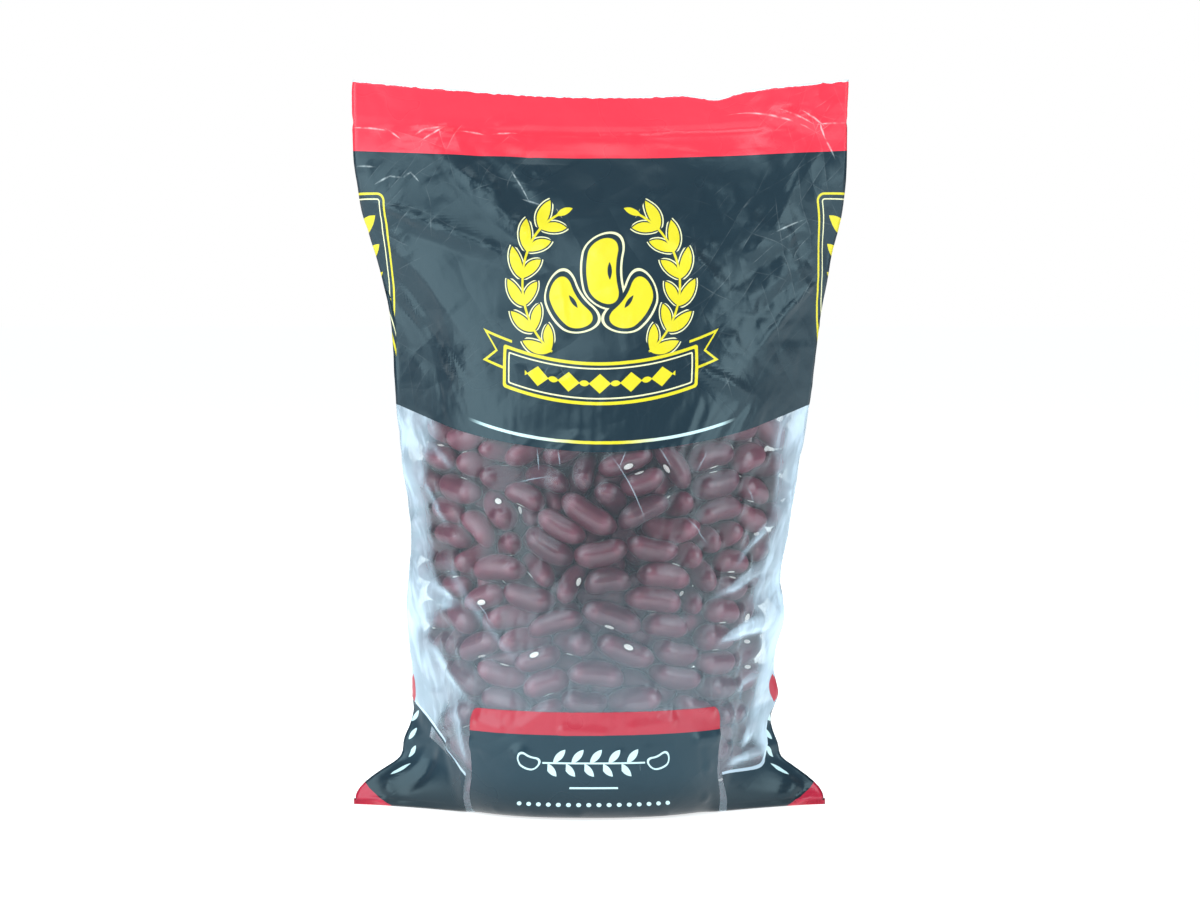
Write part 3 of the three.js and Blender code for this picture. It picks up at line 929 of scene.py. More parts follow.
def build_film(film, place, level):
    """One closed film shell: base, sides and top edge, from a primitive grid wrapped round the bag."""
    whole = closed_film(film)
    down, wide = whole.shape[:2]
    bare()
    bpy.ops.mesh.primitive_grid_add(
        x_subdivisions=wide - 1, y_subdivisions=down - 1, size=1, calc_uvs=True
    )
    piece = bpy.context.object
    piece.name = piece.data.name = "film_bag"
    mesh = piece.data
    mesh.vertices.foreach_set("co", (whole.reshape(-1, 3) * MM).ravel())
    mesh.uv_layers[0].name = "film"
    paint(mesh, "to_seal", run_from_seal(whole, level[:, 0]))
    # Cloudy loose film with its glare painted in
    paint(mesh, "cloud_and_glare", spread(pale_film(place, level), (down, wide)))
    paint(mesh, "worn", spread(wear_of_print(place, level), (down, wide)))
    mesh.materials.append(window_finish())
    mesh.materials.append(header_finish())
    edge = header_edge(place[0] % FLAT_WIDTH - FLAT_WIDTH / 2) + PRINT_MARGIN
    in_header = np.zeros((down - 1, wide - 1), int)
    in_header[BASE_ROWS:-1] = level[:-1] > edge[None]
    in_header[-1] = 1
    mesh.polygons.foreach_set("material_index", in_header.ravel())
    bpy.ops.object.mode_set(mode="EDIT")
    bpy.ops.mesh.select_all(action="SELECT")
    bpy.ops.mesh.remove_doubles(threshold=0.000002)
    bpy.ops.object.mode_set(mode="OBJECT")
    bpy.ops.object.shade_smooth()
    return piece


# Form of one bean, and the height below which beans are kept off the film's lowest folds
BEAN_SIDES = 14
BEAN_RINGS = 11
BEND = 0.9
HILUM_DENT = 0.45
HILUM_HALF = 0.28
LOW_BEANS = 17.0


def bean_form():
    """One bean of unit size, long along X, blunt at its ends: points and faces."""
    bare()
    bpy.ops.mesh.primitive_uv_sphere_add(segments=BEAN_SIDES, ring_count=BEAN_RINGS, radius=1)
    ball = bpy.context.object
    points = np.array([v.co for v in ball.data.vertices])
    faces = [tuple(f.vertices) for f in ball.data.polygons]
    bpy.data.objects.remove(ball)
    run, side_y, side_z = points[:, 2], points[:, 0], points[:, 1]
    ring = np.maximum(np.hypot(side_y, side_z), 1e-9)
    blunt = np.clip(1 - np.abs(run) ** 2.5, 0, 1) ** (1 / 2.1)
    return np.stack([run, side_y / ring * blunt, side_z / ring * blunt], 1), faces


def own_points(random, unit, radius, core):
    """Points of one bean in its own axes, with its own width, bow and taper and its scar towards -Y."""
    width = radius * random.uniform(0.9, 1.02)
    thick = radius * BEAN_FLATNESS * random.uniform(0.88, 1.0)
    bend = BEND * random.uniform(0.5, 1.3)
    run = unit[:, 0]
    taper = 1 + random.uniform(-0.1, 0.1) * run
    y = unit[:, 1] * width * taper - bend * (run**2 - 0.35)
    y += HILUM_DENT * np.exp(-((run / HILUM_HALF) ** 2)) * (unit[:, 1] < 0)
    return np.stack([run * (core + radius), y, unit[:, 2] * thick * taper], 1)


def bean_turn(random, axis, inward):
    """Directions of a bean's own Y and Z: most beans lie flat to the film."""
    flat = inward + random.normal(size=3) * random.choice((0.25, 1.2))
    own_z = flat - axis * (flat @ axis)
    own_z /= np.linalg.norm(own_z)
    if random.random() < 0.5:
        own_z = -own_z
    return np.cross(own_z, axis), own_z


def build_beans(beans):
    """All the beans as one piece, each with its own length, turn and tone."""
    random = np.random.default_rng(BEAN_SEED + 1)
    table = wall_table()
    unit, faces = bean_form()
    _, inward = wall_gap(table, beans[0])
    points, own, tones, all_faces = [], [], [], []
    for middle, axis, radius, core, to_middle in zip(*beans, inward):
        start = len(points) * len(unit)
        bean = own_points(random, unit, radius, core)
        own_y, own_z = bean_turn(random, axis, to_middle)
        placed = middle + np.outer(bean[:, 0], axis)
        placed = placed + np.outer(bean[:, 1], own_y) + np.outer(bean[:, 2], own_z)
        away, back_in = wall_gap(table, placed)
        low = placed[:, 2] < LOW_BEANS
        placed += back_in * (np.clip(LOW_CLEARANCE - away, 0, 2) * low)[:, None]
        points.append(placed)
        own.append(bean)
        tones.append(np.full(len(unit), random.random()))
        all_faces += [tuple(i + start for i in f) for f in faces]
    mesh = bpy.data.meshes.new("beans")
    mesh.from_pydata((np.concatenate(points) * MM).tolist(), [], all_faces)
    layer = mesh.attributes.new("own_place", "FLOAT_VECTOR", "POINT")
    layer.data.foreach_set("vector", np.concatenate(own).ravel())
    paint(mesh, "tone", np.concatenate(tones))
    mesh.materials.append(bean_finish())
    piece = bpy.data.objects.new("beans", mesh)
    bpy.context.scene.collection.objects.link(piece)
    bare()
    piece.select_set(True)
    bpy.context.view_layer.objects.active = piece
    bpy.ops.object.mode_set(mode="EDIT")
    bpy.ops.mesh.select_all(action="SELECT")
    bpy.ops.mesh.normals_make_consistent(inside=False)
    bpy.ops.object.mode_set(mode="OBJECT")
    bpy.ops.object.shade_smooth()
    return piece


# Materials


class Value:
    """A socket of a finish, so that sums on sockets read as sums."""

    def __init__(self, finish, socket):
        self.finish = finish
        self.socket = socket

    def other(self, index):
        """Another output of the same node."""
        return Value(self.finish, self.socket.node.outputs[index])

    def maths(self, kind, *others, clamp=False):
        """A Math node of a kind, with this socket first."""
        return self.finish.maths(kind, self, *others, clamp=clamp)

    def __add__(self, other):
        return self.maths("ADD", other)

    __radd__ = __add__

    def __sub__(self, other):
        return self.maths("SUBTRACT", other)

    def __rsub__(self, other):
        return self.finish.maths("SUBTRACT", other, self)

    def __mul__(self, other):
        return self.maths("MULTIPLY", other)

    __rmul__ = __mul__

    def __truediv__(self, other):
        return self.maths("DIVIDE", other)

    def __pow__(self, other):
        return self.maths("POWER", other)

    def __neg__(self):
        return self.maths("MULTIPLY", -1)

    def __abs__(self):
        return self.maths("ABSOLUTE")


class Finish:
    """A material that is written as sums on sockets."""

    def __init__(self, name):
        self.material = bpy.data.materials.new(name)
        self.material.use_nodes = True
        self.tree = self.material.node_tree
        self.tree.nodes.clear()

    def node(self, kind, settings=None, inputs=None, out=0):
        """Any node: its settings first, then the values or links of its sockets."""
        made = self.tree.nodes.new(kind)
        for name, value in (settings or {}).items():
            setattr(made, name, value)
        for name, value in (inputs or {}).items():
            socket = made.inputs[name]
            if isinstance(value, Value):
                self.tree.links.new(value.socket, socket)
            else:
                socket.default_value = value
        return Value(self, made.outputs[out])

    def maths(self, kind, *values, clamp=False):
        """A Math node of a kind on values or sockets."""
        settings = {"operation": kind, "use_clamp": clamp}
        return self.node("ShaderNodeMath", settings, dict(enumerate(values)))

    def noise(self, vector, scale, detail, **more):
        """Noise over a vector, with any other inputs by name."""
        inputs = {"Vector": vector, "Scale": scale, "Detail": detail, **more}
        return self.node("ShaderNodeTexNoise", {}, inputs)

    def split(self, vector):
        """The three coordinates of a vector."""
        x = self.node("ShaderNodeSeparateXYZ", {}, {0: vector})
        return x, x.other(1), x.other(2)

    def mix(self, share, first, second):
        """A colour between two, by share."""
        return self.node(
            "ShaderNodeMix",
            {"data_type": "RGBA"},
            {0: share, 6: first, 7: second},
            out=2,
        )

    def inside(self, distance, soft=0.12):
        """1 where a distance is negative, with a soft edge of so many millimetres."""
        return self.maths("MULTIPLY_ADD", distance, -1 / soft, 0.5, clamp=True)

    def line(self, distance, half, soft=0.12):
        """1 on a line where a distance is nought, of a half width."""
        return self.inside(abs(distance) - half, soft)

    def either(self, *values):
        """The largest of some values: where any mask is, or the farthest of some distances."""
        whole = values[0]
        for value in values[1:]:
            whole = self.maths("MAXIMUM", whole, value)
        return whole

    def both(self, *values):
        """The smallest of some values: where all masks are, or the nearest of some distances."""
        whole = values[0]
        for value in values[1:]:
            whole = self.maths("MINIMUM", whole, value)
        return whole

    def length(self, x, y):
        """Length of a flat vector."""
        return self.maths("SQRT", x * x + y * y)

    def ramp(self, value, stops):
        """A smooth 0 to 1 ramp between two values."""
        low, high = stops
        return self.node(
            "ShaderNodeMapRange",
            {"interpolation_type": "SMOOTHSTEP"},
            {"Value": value, "From Min": low, "From Max": high},
        )

    def folds(self, x, z, vector, sets):
        """Straight folds in patches, as their height and as their thin crests."""
        bend = self.noise(vector, 42, 1) * FOLD_WANDER
        whole = 0
        crests = 0
        for turn, gap, slope, scale in sets:
            run = x * math.cos(turn) + z * math.sin(turn) + bend
            patch = self.ramp(self.noise(vector, scale, 1), (0.46, 0.62))
            wave = self.maths("PINGPONG", run, gap)
            whole = wave * slope * patch + whole
            crests = self.maths("MAXIMUM", self.inside(wave - CREST_HALF, CREST_SOFT) * patch, crests)
        return whole, crests

    def close(self, shader):
        """Ends the material with its shader."""
        end = self.tree.nodes.new("ShaderNodeOutputMaterial")
        self.tree.links.new(shader.socket, end.inputs["Surface"])
        return self.material


def leaf(f, x, y, half_length, half_width):
    """Distance to a pointed leaf along x."""
    radius = (half_length**2 + half_width**2) / (2 * half_width)
    return f.length(abs(y) + (radius - half_width), x) - radius


def bean_mark(f, x, y, half_core, radius, bow):
    """Distance to a bean drawn along x, bowed by bow."""
    over = f.maths("MAXIMUM", abs(x) - half_core, 0)
    return f.length(over, y - x * x * bow) - radius


def box_mark(f, x, y, half_x, half_y, corner=0.0):
    """Distance to a box with rounded corners."""
    dx = f.maths("MAXIMUM", abs(x) - (half_x - corner), 0)
    dy = f.maths("MAXIMUM", abs(y) - (half_y - corner), 0)
    return f.length(dx, dy) - corner


# Colours of the print, from the darkest, then the pale of worn print with painted glints and the tint of
# its sheen; the darkest black, the label's black and the label's red carry painted shade and light
# Painted shade: the label's black turns to this near the foot
SHADE_BLACK = (0.002, 0.007, 0.014, 1)
BLACK = (0.009, 0.023, 0.036, 1)
# Painted light: the header's black made lighter for the label and ears low down
LABEL_LIT_BLACK = (0.01, 0.031, 0.05, 1)
# Painted shade: the band's red made darker for the label's strip, spots and base stripe, also for the
# dark beans behind the film
LABEL_SHADED_RED = (0.47, 0.034, 0.058, 1)
TIP_RED = (0.5, 0.012, 0.045, 1)
RED = (0.88, 0.031, 0.06, 1)
YELLOW = (0.75, 0.65, 0.02, 1)
CREAM = (0.85, 0.83, 0.5, 1)
PALE = (0.62, 0.86, 0.9, 1)
# Pale of worn print and the torn edge, also painted glints on crease lines and fold crests
WORN_AND_GLINT = (0.75, 0.85, 0.88, 1)
SHEEN_TINT = (0.7, 0.94, 1.0, 1)

# Colours of the clear film: where it is cloudy and where glare is painted on it, what it lets through,
# what it mirrors
CLOUD_AND_GLARE = (0.63, 0.80, 0.94, 1)
CLEAR = (0.96, 0.985, 0.99, 1)
MIRRORED = (0.82, 0.94, 1.0, 1)

# Colours of the beans: the darkest and the lightest skin, its clouds and flecks, the scar and its ring
DARK_SKIN = (0.12, 0.024, 0.05, 1)
LIGHT_SKIN = (0.26, 0.055, 0.095, 1)
SKIN_CLOUDS = (0.32, 0.09, 0.09, 1)
SKIN_FLECKS = (0.05, 0.01, 0.014, 1)
SCAR_RING = (0.05, 0.012, 0.014, 1)
SCAR = (0.95, 0.93, 0.88, 1)

# Straight folds of handled film, in metres: direction, distance between folds, slope, patch scale
WIDE_FOLDS = [
    (0.5, 0.011, 0.2, 21),
    (-0.9, 0.013, 0.2, 26),
    (1.9, 0.009, 0.16, 31),
]
SMALL_FOLDS = [
    (0.25, 0.0043, 0.2, 72),
    (-0.55, 0.0036, 0.2, 83),
    (1.2, 0.0048, 0.2, 64),
    (2.2, 0.0031, 0.2, 97),
]
FOLD_WANDER = 0.009
CREST_HALF = 0.00008
CREST_SOFT = 0.00022

# Print of the header, in millimetres: foot of the red band, the bowed line at the lower edge,
# the emblem with its wreath and its ribbon, the side frames
BAND_FOOT = 184.2
ARC_HEIGHT = 104.8
ARC_RISE = 3.4
ARC_REACH = 30
ARC_BOW = 2.1
ARC_END = (41, 33)
EMBLEM_ACROSS = -1.0
EMBLEM_HEIGHT = 146.0
WREATH_RADIUS = 23.0
WREATH_RISE = 2
LEAF_STEP = 0.33
FIRST_LEAF = 2
LAST_LEAF = 8
RIBBON_DROP = 25.0
RIBBON_BOW = 0.0062
RIBBON_HALF = (28.5, 5.9)
TAILS_FROM = 26.0
TAILS_TO = 31.0
GEM_STEP = 9.0
GEM_ROW_HALF = 21.8
FRAME_HEIGHT = 145.5
FRAME_HALF = (13.5, 27.5)
FRAME_LEAN = 0.21
FRAME_LEAF_STEP = 7.5
SPRIG_HALF = (11.0, 22.3)

# Print round the foot, in millimetres: the label, its red strip, the clear stripe beside it,
# the label's drawing, the edges of the ears, the corner spots, the red tips, the ears' leaves
LABEL_ACROSS = 2.1
LABEL_HALF = 35.4
LABEL_SPREAD = 0.195
LABEL_TOP = 31.0
LABEL_CORNER = 4.0
STRIP_FOOT = 24.6
CLEAR_STRIPE = 2.4
BASE_STRIPE_HALF = 9.0
DRAWING_ACROSS = 1.2
DRAWING_HEIGHT = 16.8
DRAWING_LEAF_STEP = 5.2
DOT_STEP = 2.6
LEFT_EAR_TOP = 29.7
LEFT_EAR_SLOPE = 0.583
LEFT_EAR_AT = -69.1
RIGHT_EAR_FOOT = 11.4
RIGHT_EAR_RISE = 17.6
RIGHT_EAR_FROM = 50
RIGHT_EAR_REACH = 20
RIGHT_EAR_BOW = 4.4
EAR_GAP_FOOT = 20.9
EAR_GAP_SLOPE = 0.395
EAR_GAP_AT = -61.5
EAR_GAP_END = -60.0
SPOT_HEIGHT = 33.6
TIP_HEIGHT = 6.2
TIP_SLOPE = 0.55
EAR_LEAF_STEP = 5.0
EAR_LEAF_MIDDLE = 18.0
EAR_LEAF_REACH = 10.0


class FilmPlace:
    """A place on the film as it lies on the flat tube, in millimetres, with its painted values."""

    def __init__(self, f):
        uv = f.node("ShaderNodeUVMap", {"uv_map": "film"})
        share, share_up, _ = f.split(uv)
        place = share * (2 * FLAT_WIDTH)
        row = SEAL_TOP / ROWS
        self.height = share_up * ((BASE_ROWS + ROWS + 1) * row) - BASE_ROWS * row
        self.is_back = f.inside(FLAT_WIDTH - place, 0.2)
        self.across = f.maths("WRAP", place, FLAT_WIDTH, 0) - FLAT_WIDTH / 2
        self.off = abs(self.across)
        self.from_crease = FLAT_WIDTH / 2 - self.off
        from_front = f.maths("WRAP", place, 1.5 * FLAT_WIDTH, -0.5 * FLAT_WIDTH) - FLAT_WIDTH / 2
        self.round_crease = FLAT_WIDTH / 2 - abs(from_front)
        self.object = f.node("ShaderNodeTexCoord", out=3)
        self.to_seal = f.node("ShaderNodeAttribute", {"attribute_name": "to_seal"}, out=2)
        self.cloud_and_glare = f.node("ShaderNodeAttribute", {"attribute_name": "cloud_and_glare"}, out=2)
        self.worn = f.node("ShaderNodeAttribute", {"attribute_name": "worn"}, out=2)


def hair_lines(f, spot, lines, half_width):
    """Distance to the nearest of some thin, slightly bowed lines."""
    marks = []
    for start, end in lines:
        angle = math.atan2(end[1] - start[1], end[0] - start[0])
        middle = ((start[0] + end[0]) / 2, (start[1] + end[1]) / 2)
        x, y = turned(spot.across - middle[0], spot.height - middle[1], angle)
        marks.append(leaf(f, x, y + 0.01 * x * x, math.dist(start, end) / 2, half_width))
    return f.both(*marks)


def film_surface(f, spot, tilt):
    """Relief of the small flats and creases of handled film, its uneven gloss, and the crests of its
    folds where it is worn, for painted highlights.
    """
    fine = f.noise(spot.object, 260, 3)
    broad = f.noise(spot.object, 38, 2)
    x, _, z = f.split(spot.object)
    wide, _ = f.folds(x, z, spot.object, WIDE_FOLDS)
    small, crests = f.folds(x, z, spot.object, SMALL_FOLDS)
    handled = 1 - 0.6 * f.inside(BAND_FOOT - spot.height, 4)
    wide = wide * (0.55 + spot.worn) * tilt * handled
    small = small * (0.04 + 0.6 * spot.worn)
    rise = wide + small + fine * 0.00005
    relief = f.node("ShaderNodeBump", {}, {"Strength": 1, "Distance": 1, "Height": rise})
    return relief, broad, crests * spot.worn


def arc_line(f, spot):
    """The fine bowed line near the header's lower edge, and its colour."""
    rise = ARC_HEIGHT + ARC_RISE * (spot.off / ARC_REACH) ** ARC_BOW
    line = f.line(spot.height - rise, 0.42) * f.ramp(spot.off, ARC_END)
    return line, f.mix(f.ramp(spot.off, (4, 22)), YELLOW, PALE)


def ink_shader(f, ink, relief, broad):
    """Glossy printed film of an ink, with an uneven sheen."""
    inputs = {
        "Base Color": ink,
        "Roughness": 0.2 + 0.18 * broad,
        "Normal": relief,
        "IOR": 1.5,
        "Specular Tint": SHEEN_TINT,
    }
    return f.node("ShaderNodeBsdfPrincipled", {}, inputs)


def wreath_print(f, x, y):
    """Pairs of leaves on a stem up each side, open at the top and the foot, and their outline."""
    up = y - WREATH_RISE
    turn = f.maths("ARCTAN2", abs(x), -up)
    along_stem = (f.maths("WRAP", turn, LEAF_STEP, 0) - LEAF_STEP / 2) * WREATH_RADIUS
    from_stem = f.length(x, up) - WREATH_RADIUS
    outer = leaf(f, *turned(along_stem, from_stem - 2.2, 0.55), 4.3, 1.55)
    inner = leaf(f, *turned(along_stem, from_stem + 2.2, -0.55), 4.0, 1.45)
    leaves = f.both(outer, inner)
    past_last = turn - LAST_LEAF * LEAF_STEP
    part = f.inside(FIRST_LEAF * LEAF_STEP - turn, 0.02) * f.inside(past_last, 0.02)
    tip = f.inside(leaf(f, past_last * WREATH_RADIUS - 1.6, from_stem, 2.6, 0.95))
    wreath = f.either(f.inside(f.both(leaves, abs(from_stem) - 0.32)) * part, tip)
    outline = f.line(leaves - 0.55, 0.16) * part * (1 - wreath)
    return wreath, outline * f.inside((FIRST_LEAF + 0.15) * LEAF_STEP - turn, 0.02)


def bean_trio_print(f, x, y):
    """Three beans inside the wreath, two low and one above, and the line round them."""
    low = turned(abs(x) - 9.9, y + 3.6, 0.95)
    top = turned(x, y - 6.2, math.pi / 2)
    trio = f.both(bean_mark(f, *low, 4.1, 3.8, 0.035), bean_mark(f, *top, 4.9, 4.3, -0.026))
    fill = f.inside(trio)
    scars = f.either(
        f.inside(leaf(f, low[0], low[1] - 2.2, 2.2, 0.6)),
        f.inside(leaf(f, top[0], top[1] + 2.5, 2.5, 0.65)),
    )
    return fill * (1 - scars), f.line(trio - 1.5, 0.3) * (1 - fill)


def ribbon_print(f, x, y):
    """Bowed ribbon with a row of gems and two tails: its yellow, its cream line, its ground."""
    off = abs(x)
    y = y + RIBBON_DROP - x * x * RIBBON_BOW
    half_x, half_y = RIBBON_HALF
    edge = box_mark(f, x, y, half_x, half_y, 0.8)
    ribbon = f.inside(edge)
    rim = ribbon - f.inside(box_mark(f, x, y, half_x - 0.9, half_y - 0.9, 0.6))
    line = f.inside(box_mark(f, x, y, half_x - 1.6, half_y - 1.6, 0.5))
    line = line - f.inside(box_mark(f, x, y, half_x - 2.0, half_y - 2.0, 0.4))
    from_tail = abs(y - 3.4)
    tail = f.maths("MAXIMUM", from_tail - 4.4, off - (TAILS_TO + from_tail * 0.9))
    beyond = f.inside(TAILS_FROM - off) * (1 - ribbon)
    tail_rim = f.line(tail + 0.4, 0.36) * beyond
    gem_x = abs(f.maths("WRAP", x + GEM_STEP / 2, GEM_STEP, 0) - GEM_STEP / 2)
    gems = f.either(
        f.inside(gem_x * 0.85 + abs(y) - 2.7),
        f.inside(leaf(f, gem_x - GEM_STEP / 2, y, 1.5, 0.8)),
    )
    gems = gems * f.inside(off - GEM_ROW_HALF)
    return f.either(rim, gems, tail_rim), line, f.either(f.inside(edge - 0.8), f.inside(tail) * beyond)


def emblem_print(f, spot):
    """Header emblem: a wreath round three beans, over a bare ribbon. Yellow, cream, black."""
    x = spot.across - EMBLEM_ACROSS
    y = spot.height - EMBLEM_HEIGHT
    wreath, wreath_line = wreath_print(f, x, y)
    trio, trio_line = bean_trio_print(f, x, y)
    ribbon, ribbon_line, ground = ribbon_print(f, x, y)
    return f.either(wreath, trio, ribbon), f.either(wreath_line, trio_line, ribbon_line), ground


def frame_print(f, spot):
    """Side frames: a sprig inside two outlines round each side crease. Yellow, cream."""
    x = spot.round_crease + 5.5 + (172 - spot.height) * FRAME_LEAN
    y = spot.height - FRAME_HEIGHT
    edge = box_mark(f, x, y, *FRAME_HALF, 2.2)
    leaf_y = f.maths("WRAP", y, FRAME_LEAF_STEP, 0) - FRAME_LEAF_STEP / 2
    leaves = leaf(f, *turned(abs(x) - 5.9, leaf_y, 0.6), 5.4, 1.9)
    sprig = f.inside(f.both(leaves, abs(x) - 0.35)) * f.inside(box_mark(f, x, y, *SPRIG_HALF) - 0.2)
    return f.either(f.line(edge, 0.3), sprig), f.line(edge + 1.4, 0.16)


def header_finish():
    """Opaque glossy print of the empty header and the seal, with pale crinkled lines and painted
    highlights on creases and fold crests.
    """
    f = Finish("header_film")
    spot = FilmPlace(f)
    is_front = 1 - spot.is_back
    line, line_tone = arc_line(f, spot)
    ink = f.mix(line, BLACK, line_tone)
    yellow, cream, black = emblem_print(f, spot)
    ink = f.mix(black * is_front, ink, BLACK)
    ink = f.mix(cream * is_front, ink, CREAM)
    ink = f.mix(yellow * is_front, ink, YELLOW)
    yellow, cream = frame_print(f, spot)
    ink = f.mix(yellow, ink, YELLOW)
    ink = f.mix(cream, ink, CREAM)
    ink = f.mix(f.inside(BAND_FOOT - spot.height), ink, RED)
    torn = f.noise(spot.object, 420, 2)
    torn_edge = f.inside(SEAL_TOP - 0.85 + torn * 1.1 - spot.height)
    # Pale crease lines: crinkled print with painted glints along them
    marks = f.inside(hair_lines(f, spot, CREASE_WEAR_GLINTS, 0.17), 0.36) * is_front
    marks = marks * f.ramp(torn, (0.3, 0.75)) * 0.7
    relief, broad, crests = film_surface(f, spot, 0.32)
    # Painted highlights: the crests of the folds as thin pale lines
    crests = crests * f.ramp(torn, (0.25, 0.75)) * 0.26
    ink = f.mix(f.either(marks, torn_edge, crests), ink, WORN_AND_GLINT)
    return f.close(ink_shader(f, ink, relief, broad))


def label_place(f, spot, half):
    """Where the label is: it widens upwards and has two round corners."""
    over = f.maths("MAXIMUM", abs(spot.across - LABEL_ACROSS) - (half - LABEL_CORNER), 0)
    above = f.maths("MAXIMUM", spot.height - (LABEL_TOP - LABEL_CORNER), 0)
    return f.inside(f.length(over, above) - LABEL_CORNER)


def ear_print(f, spot, label_half):
    """Where the print of the ears is, and a painted highlight along the fold over them."""
    across, height = spot.across, spot.height
    beside = f.inside((label_half + CLEAR_STRIPE) - abs(across - LABEL_ACROSS))
    left_edge = LEFT_EAR_TOP - LEFT_EAR_SLOPE * (across - LEFT_EAR_AT)
    past = f.maths("MAXIMUM", across - RIGHT_EAR_FROM, 0) / RIGHT_EAR_REACH
    right_edge = RIGHT_EAR_FOOT + RIGHT_EAR_RISE * past**RIGHT_EAR_BOW
    is_left = f.inside(across, 0.2)
    edge = height - (is_left * left_edge + (1 - is_left) * right_edge)
    gap_foot = EAR_GAP_FOOT - EAR_GAP_SLOPE * (across - EAR_GAP_AT)
    gap = f.inside(edge + 1.0) * f.inside(gap_foot - height) * f.inside(EAR_GAP_END - across) * is_left
    # Painted highlight: a pale line along the fold at the ears' edge
    fold = f.line(edge - 0.1, 0.42) * beside * f.inside(1.5 - spot.from_crease)
    return beside * f.inside(edge) * (1 - gap), fold


def label_drawing(f, spot):
    """Sprig between two beans, a short rule and a row of dots."""
    x = spot.across - DRAWING_ACROSS
    y = spot.height - DRAWING_HEIGHT
    off = abs(x)
    leaf_x = f.maths("WRAP", x + DRAWING_LEAF_STEP / 2, DRAWING_LEAF_STEP, 0) - DRAWING_LEAF_STEP / 2
    upper = leaf(f, *turned(leaf_x - 0.6, y - 1.9, 0.85), 2.5, 0.95)
    lower = leaf(f, *turned(leaf_x + 1.6, y + 1.9, -0.85), 2.5, 0.95)
    leaves = f.inside(f.both(upper, lower)) * f.inside(off - 13.0)
    stem = f.line(y, 0.24) * f.inside(off - 14.5)
    beans = f.line(bean_mark(f, *turned(off - 18.8, y, 0.35), 1.5, 1.75, 0.08), 0.26)
    rule = f.line(spot.height - 9.8, 0.28) * f.inside(off - 6.5)
    dot = f.maths("WRAP", x, DOT_STEP, 0) - DOT_STEP / 2
    dots = f.inside(f.length(dot, spot.height - 5.0) - 0.62) * f.inside(off - 20.8)
    return f.either(leaves, stem, beans, rule, dots)


def ear_leaves(f, spot):
    """Small leaves up the outer edge of the ears."""
    run = f.maths("WRAP", spot.height - 8.0, EAR_LEAF_STEP, 0) - EAR_LEAF_STEP / 2
    off = spot.from_crease - 1.4 - 0.3 * f.maths("MAXIMUM", 24.0 - spot.height, 0)
    leaves = f.inside(leaf(f, *turned(off, run, 0.9), 2.2, 0.8))
    return leaves * f.inside(abs(spot.height - EAR_LEAF_MIDDLE) - EAR_LEAF_REACH)


def low_print(f, spot):
    """Label, ears and corner spots: their colour, where they are, the painted highlight along the fold
    over the ears, the base.
    """
    height = spot.height
    label_half = LABEL_HALF + LABEL_SPREAD * height
    label = label_place(f, spot, label_half)
    ears, fold = ear_print(f, spot, label_half)
    strip = label * f.inside(STRIP_FOOT - height)
    spots = f.inside(leaf(f, height - SPOT_HEIGHT, spot.round_crease - 0.9, 4.1, 1.45))
    tips = f.inside(height - (TIP_HEIGHT - TIP_SLOPE * spot.from_crease))
    base = f.inside(height + 0.2)
    red = f.either(strip, spots, tips, f.inside(spot.to_seal - BASE_STRIPE_HALF) * base)
    # Painted shade: the label's black, itself a lighter copy of the header's, darkens towards the foot
    ink = f.mix(f.ramp(height, (15, 1)) * 0.85, LABEL_LIT_BLACK, SHADE_BLACK)
    # Painted shade: the low red print is a darker copy of the band's red
    ink = f.mix(red, ink, LABEL_SHADED_RED)
    ink = f.mix(tips, ink, TIP_RED)
    ink = f.mix(f.either(label_drawing(f, spot) * label, ear_leaves(f, spot) * ears), ink, PALE)
    return ink, f.either(label, ears, spots, tips), fold, base


def veil_cloud_and_glare(f, spot, fold, broad):
    """How pale the clear film is: cloudy with painted glare, in streaks, more towards the foot, in
    scratches, with the painted highlight along the ears' fold.
    """
    # Streaks run from the side creases down towards the middle
    x, y, z = f.split(spot.object)
    side, run = turned(abs(x), z, -0.42)
    flow = f.node("ShaderNodeCombineXYZ", {}, {0: side, 1: y, 2: run * 0.22})
    streaks = f.ramp(f.noise(flow, 230, 3, Distortion=0.4), (0.4, 0.64))
    clouds = 0.035 + f.ramp(spot.height, (78, 26)) * (0.07 + 0.1 * broad)
    scratch = f.inside(hair_lines(f, spot, SCRATCHES, 0.13), 0.25)
    scratch = scratch * (1 - spot.is_back) * (0.15 + 0.4 * broad)
    # Painted glare of the loose film at its sides and in its folds, on top of its cloudiness
    side_cloud_and_glare = spot.cloud_and_glare * (0.6 + 0.4 * broad + 0.5 * streaks)
    return f.both(clouds + side_cloud_and_glare + fold * 0.6 + scratch, 0.97)


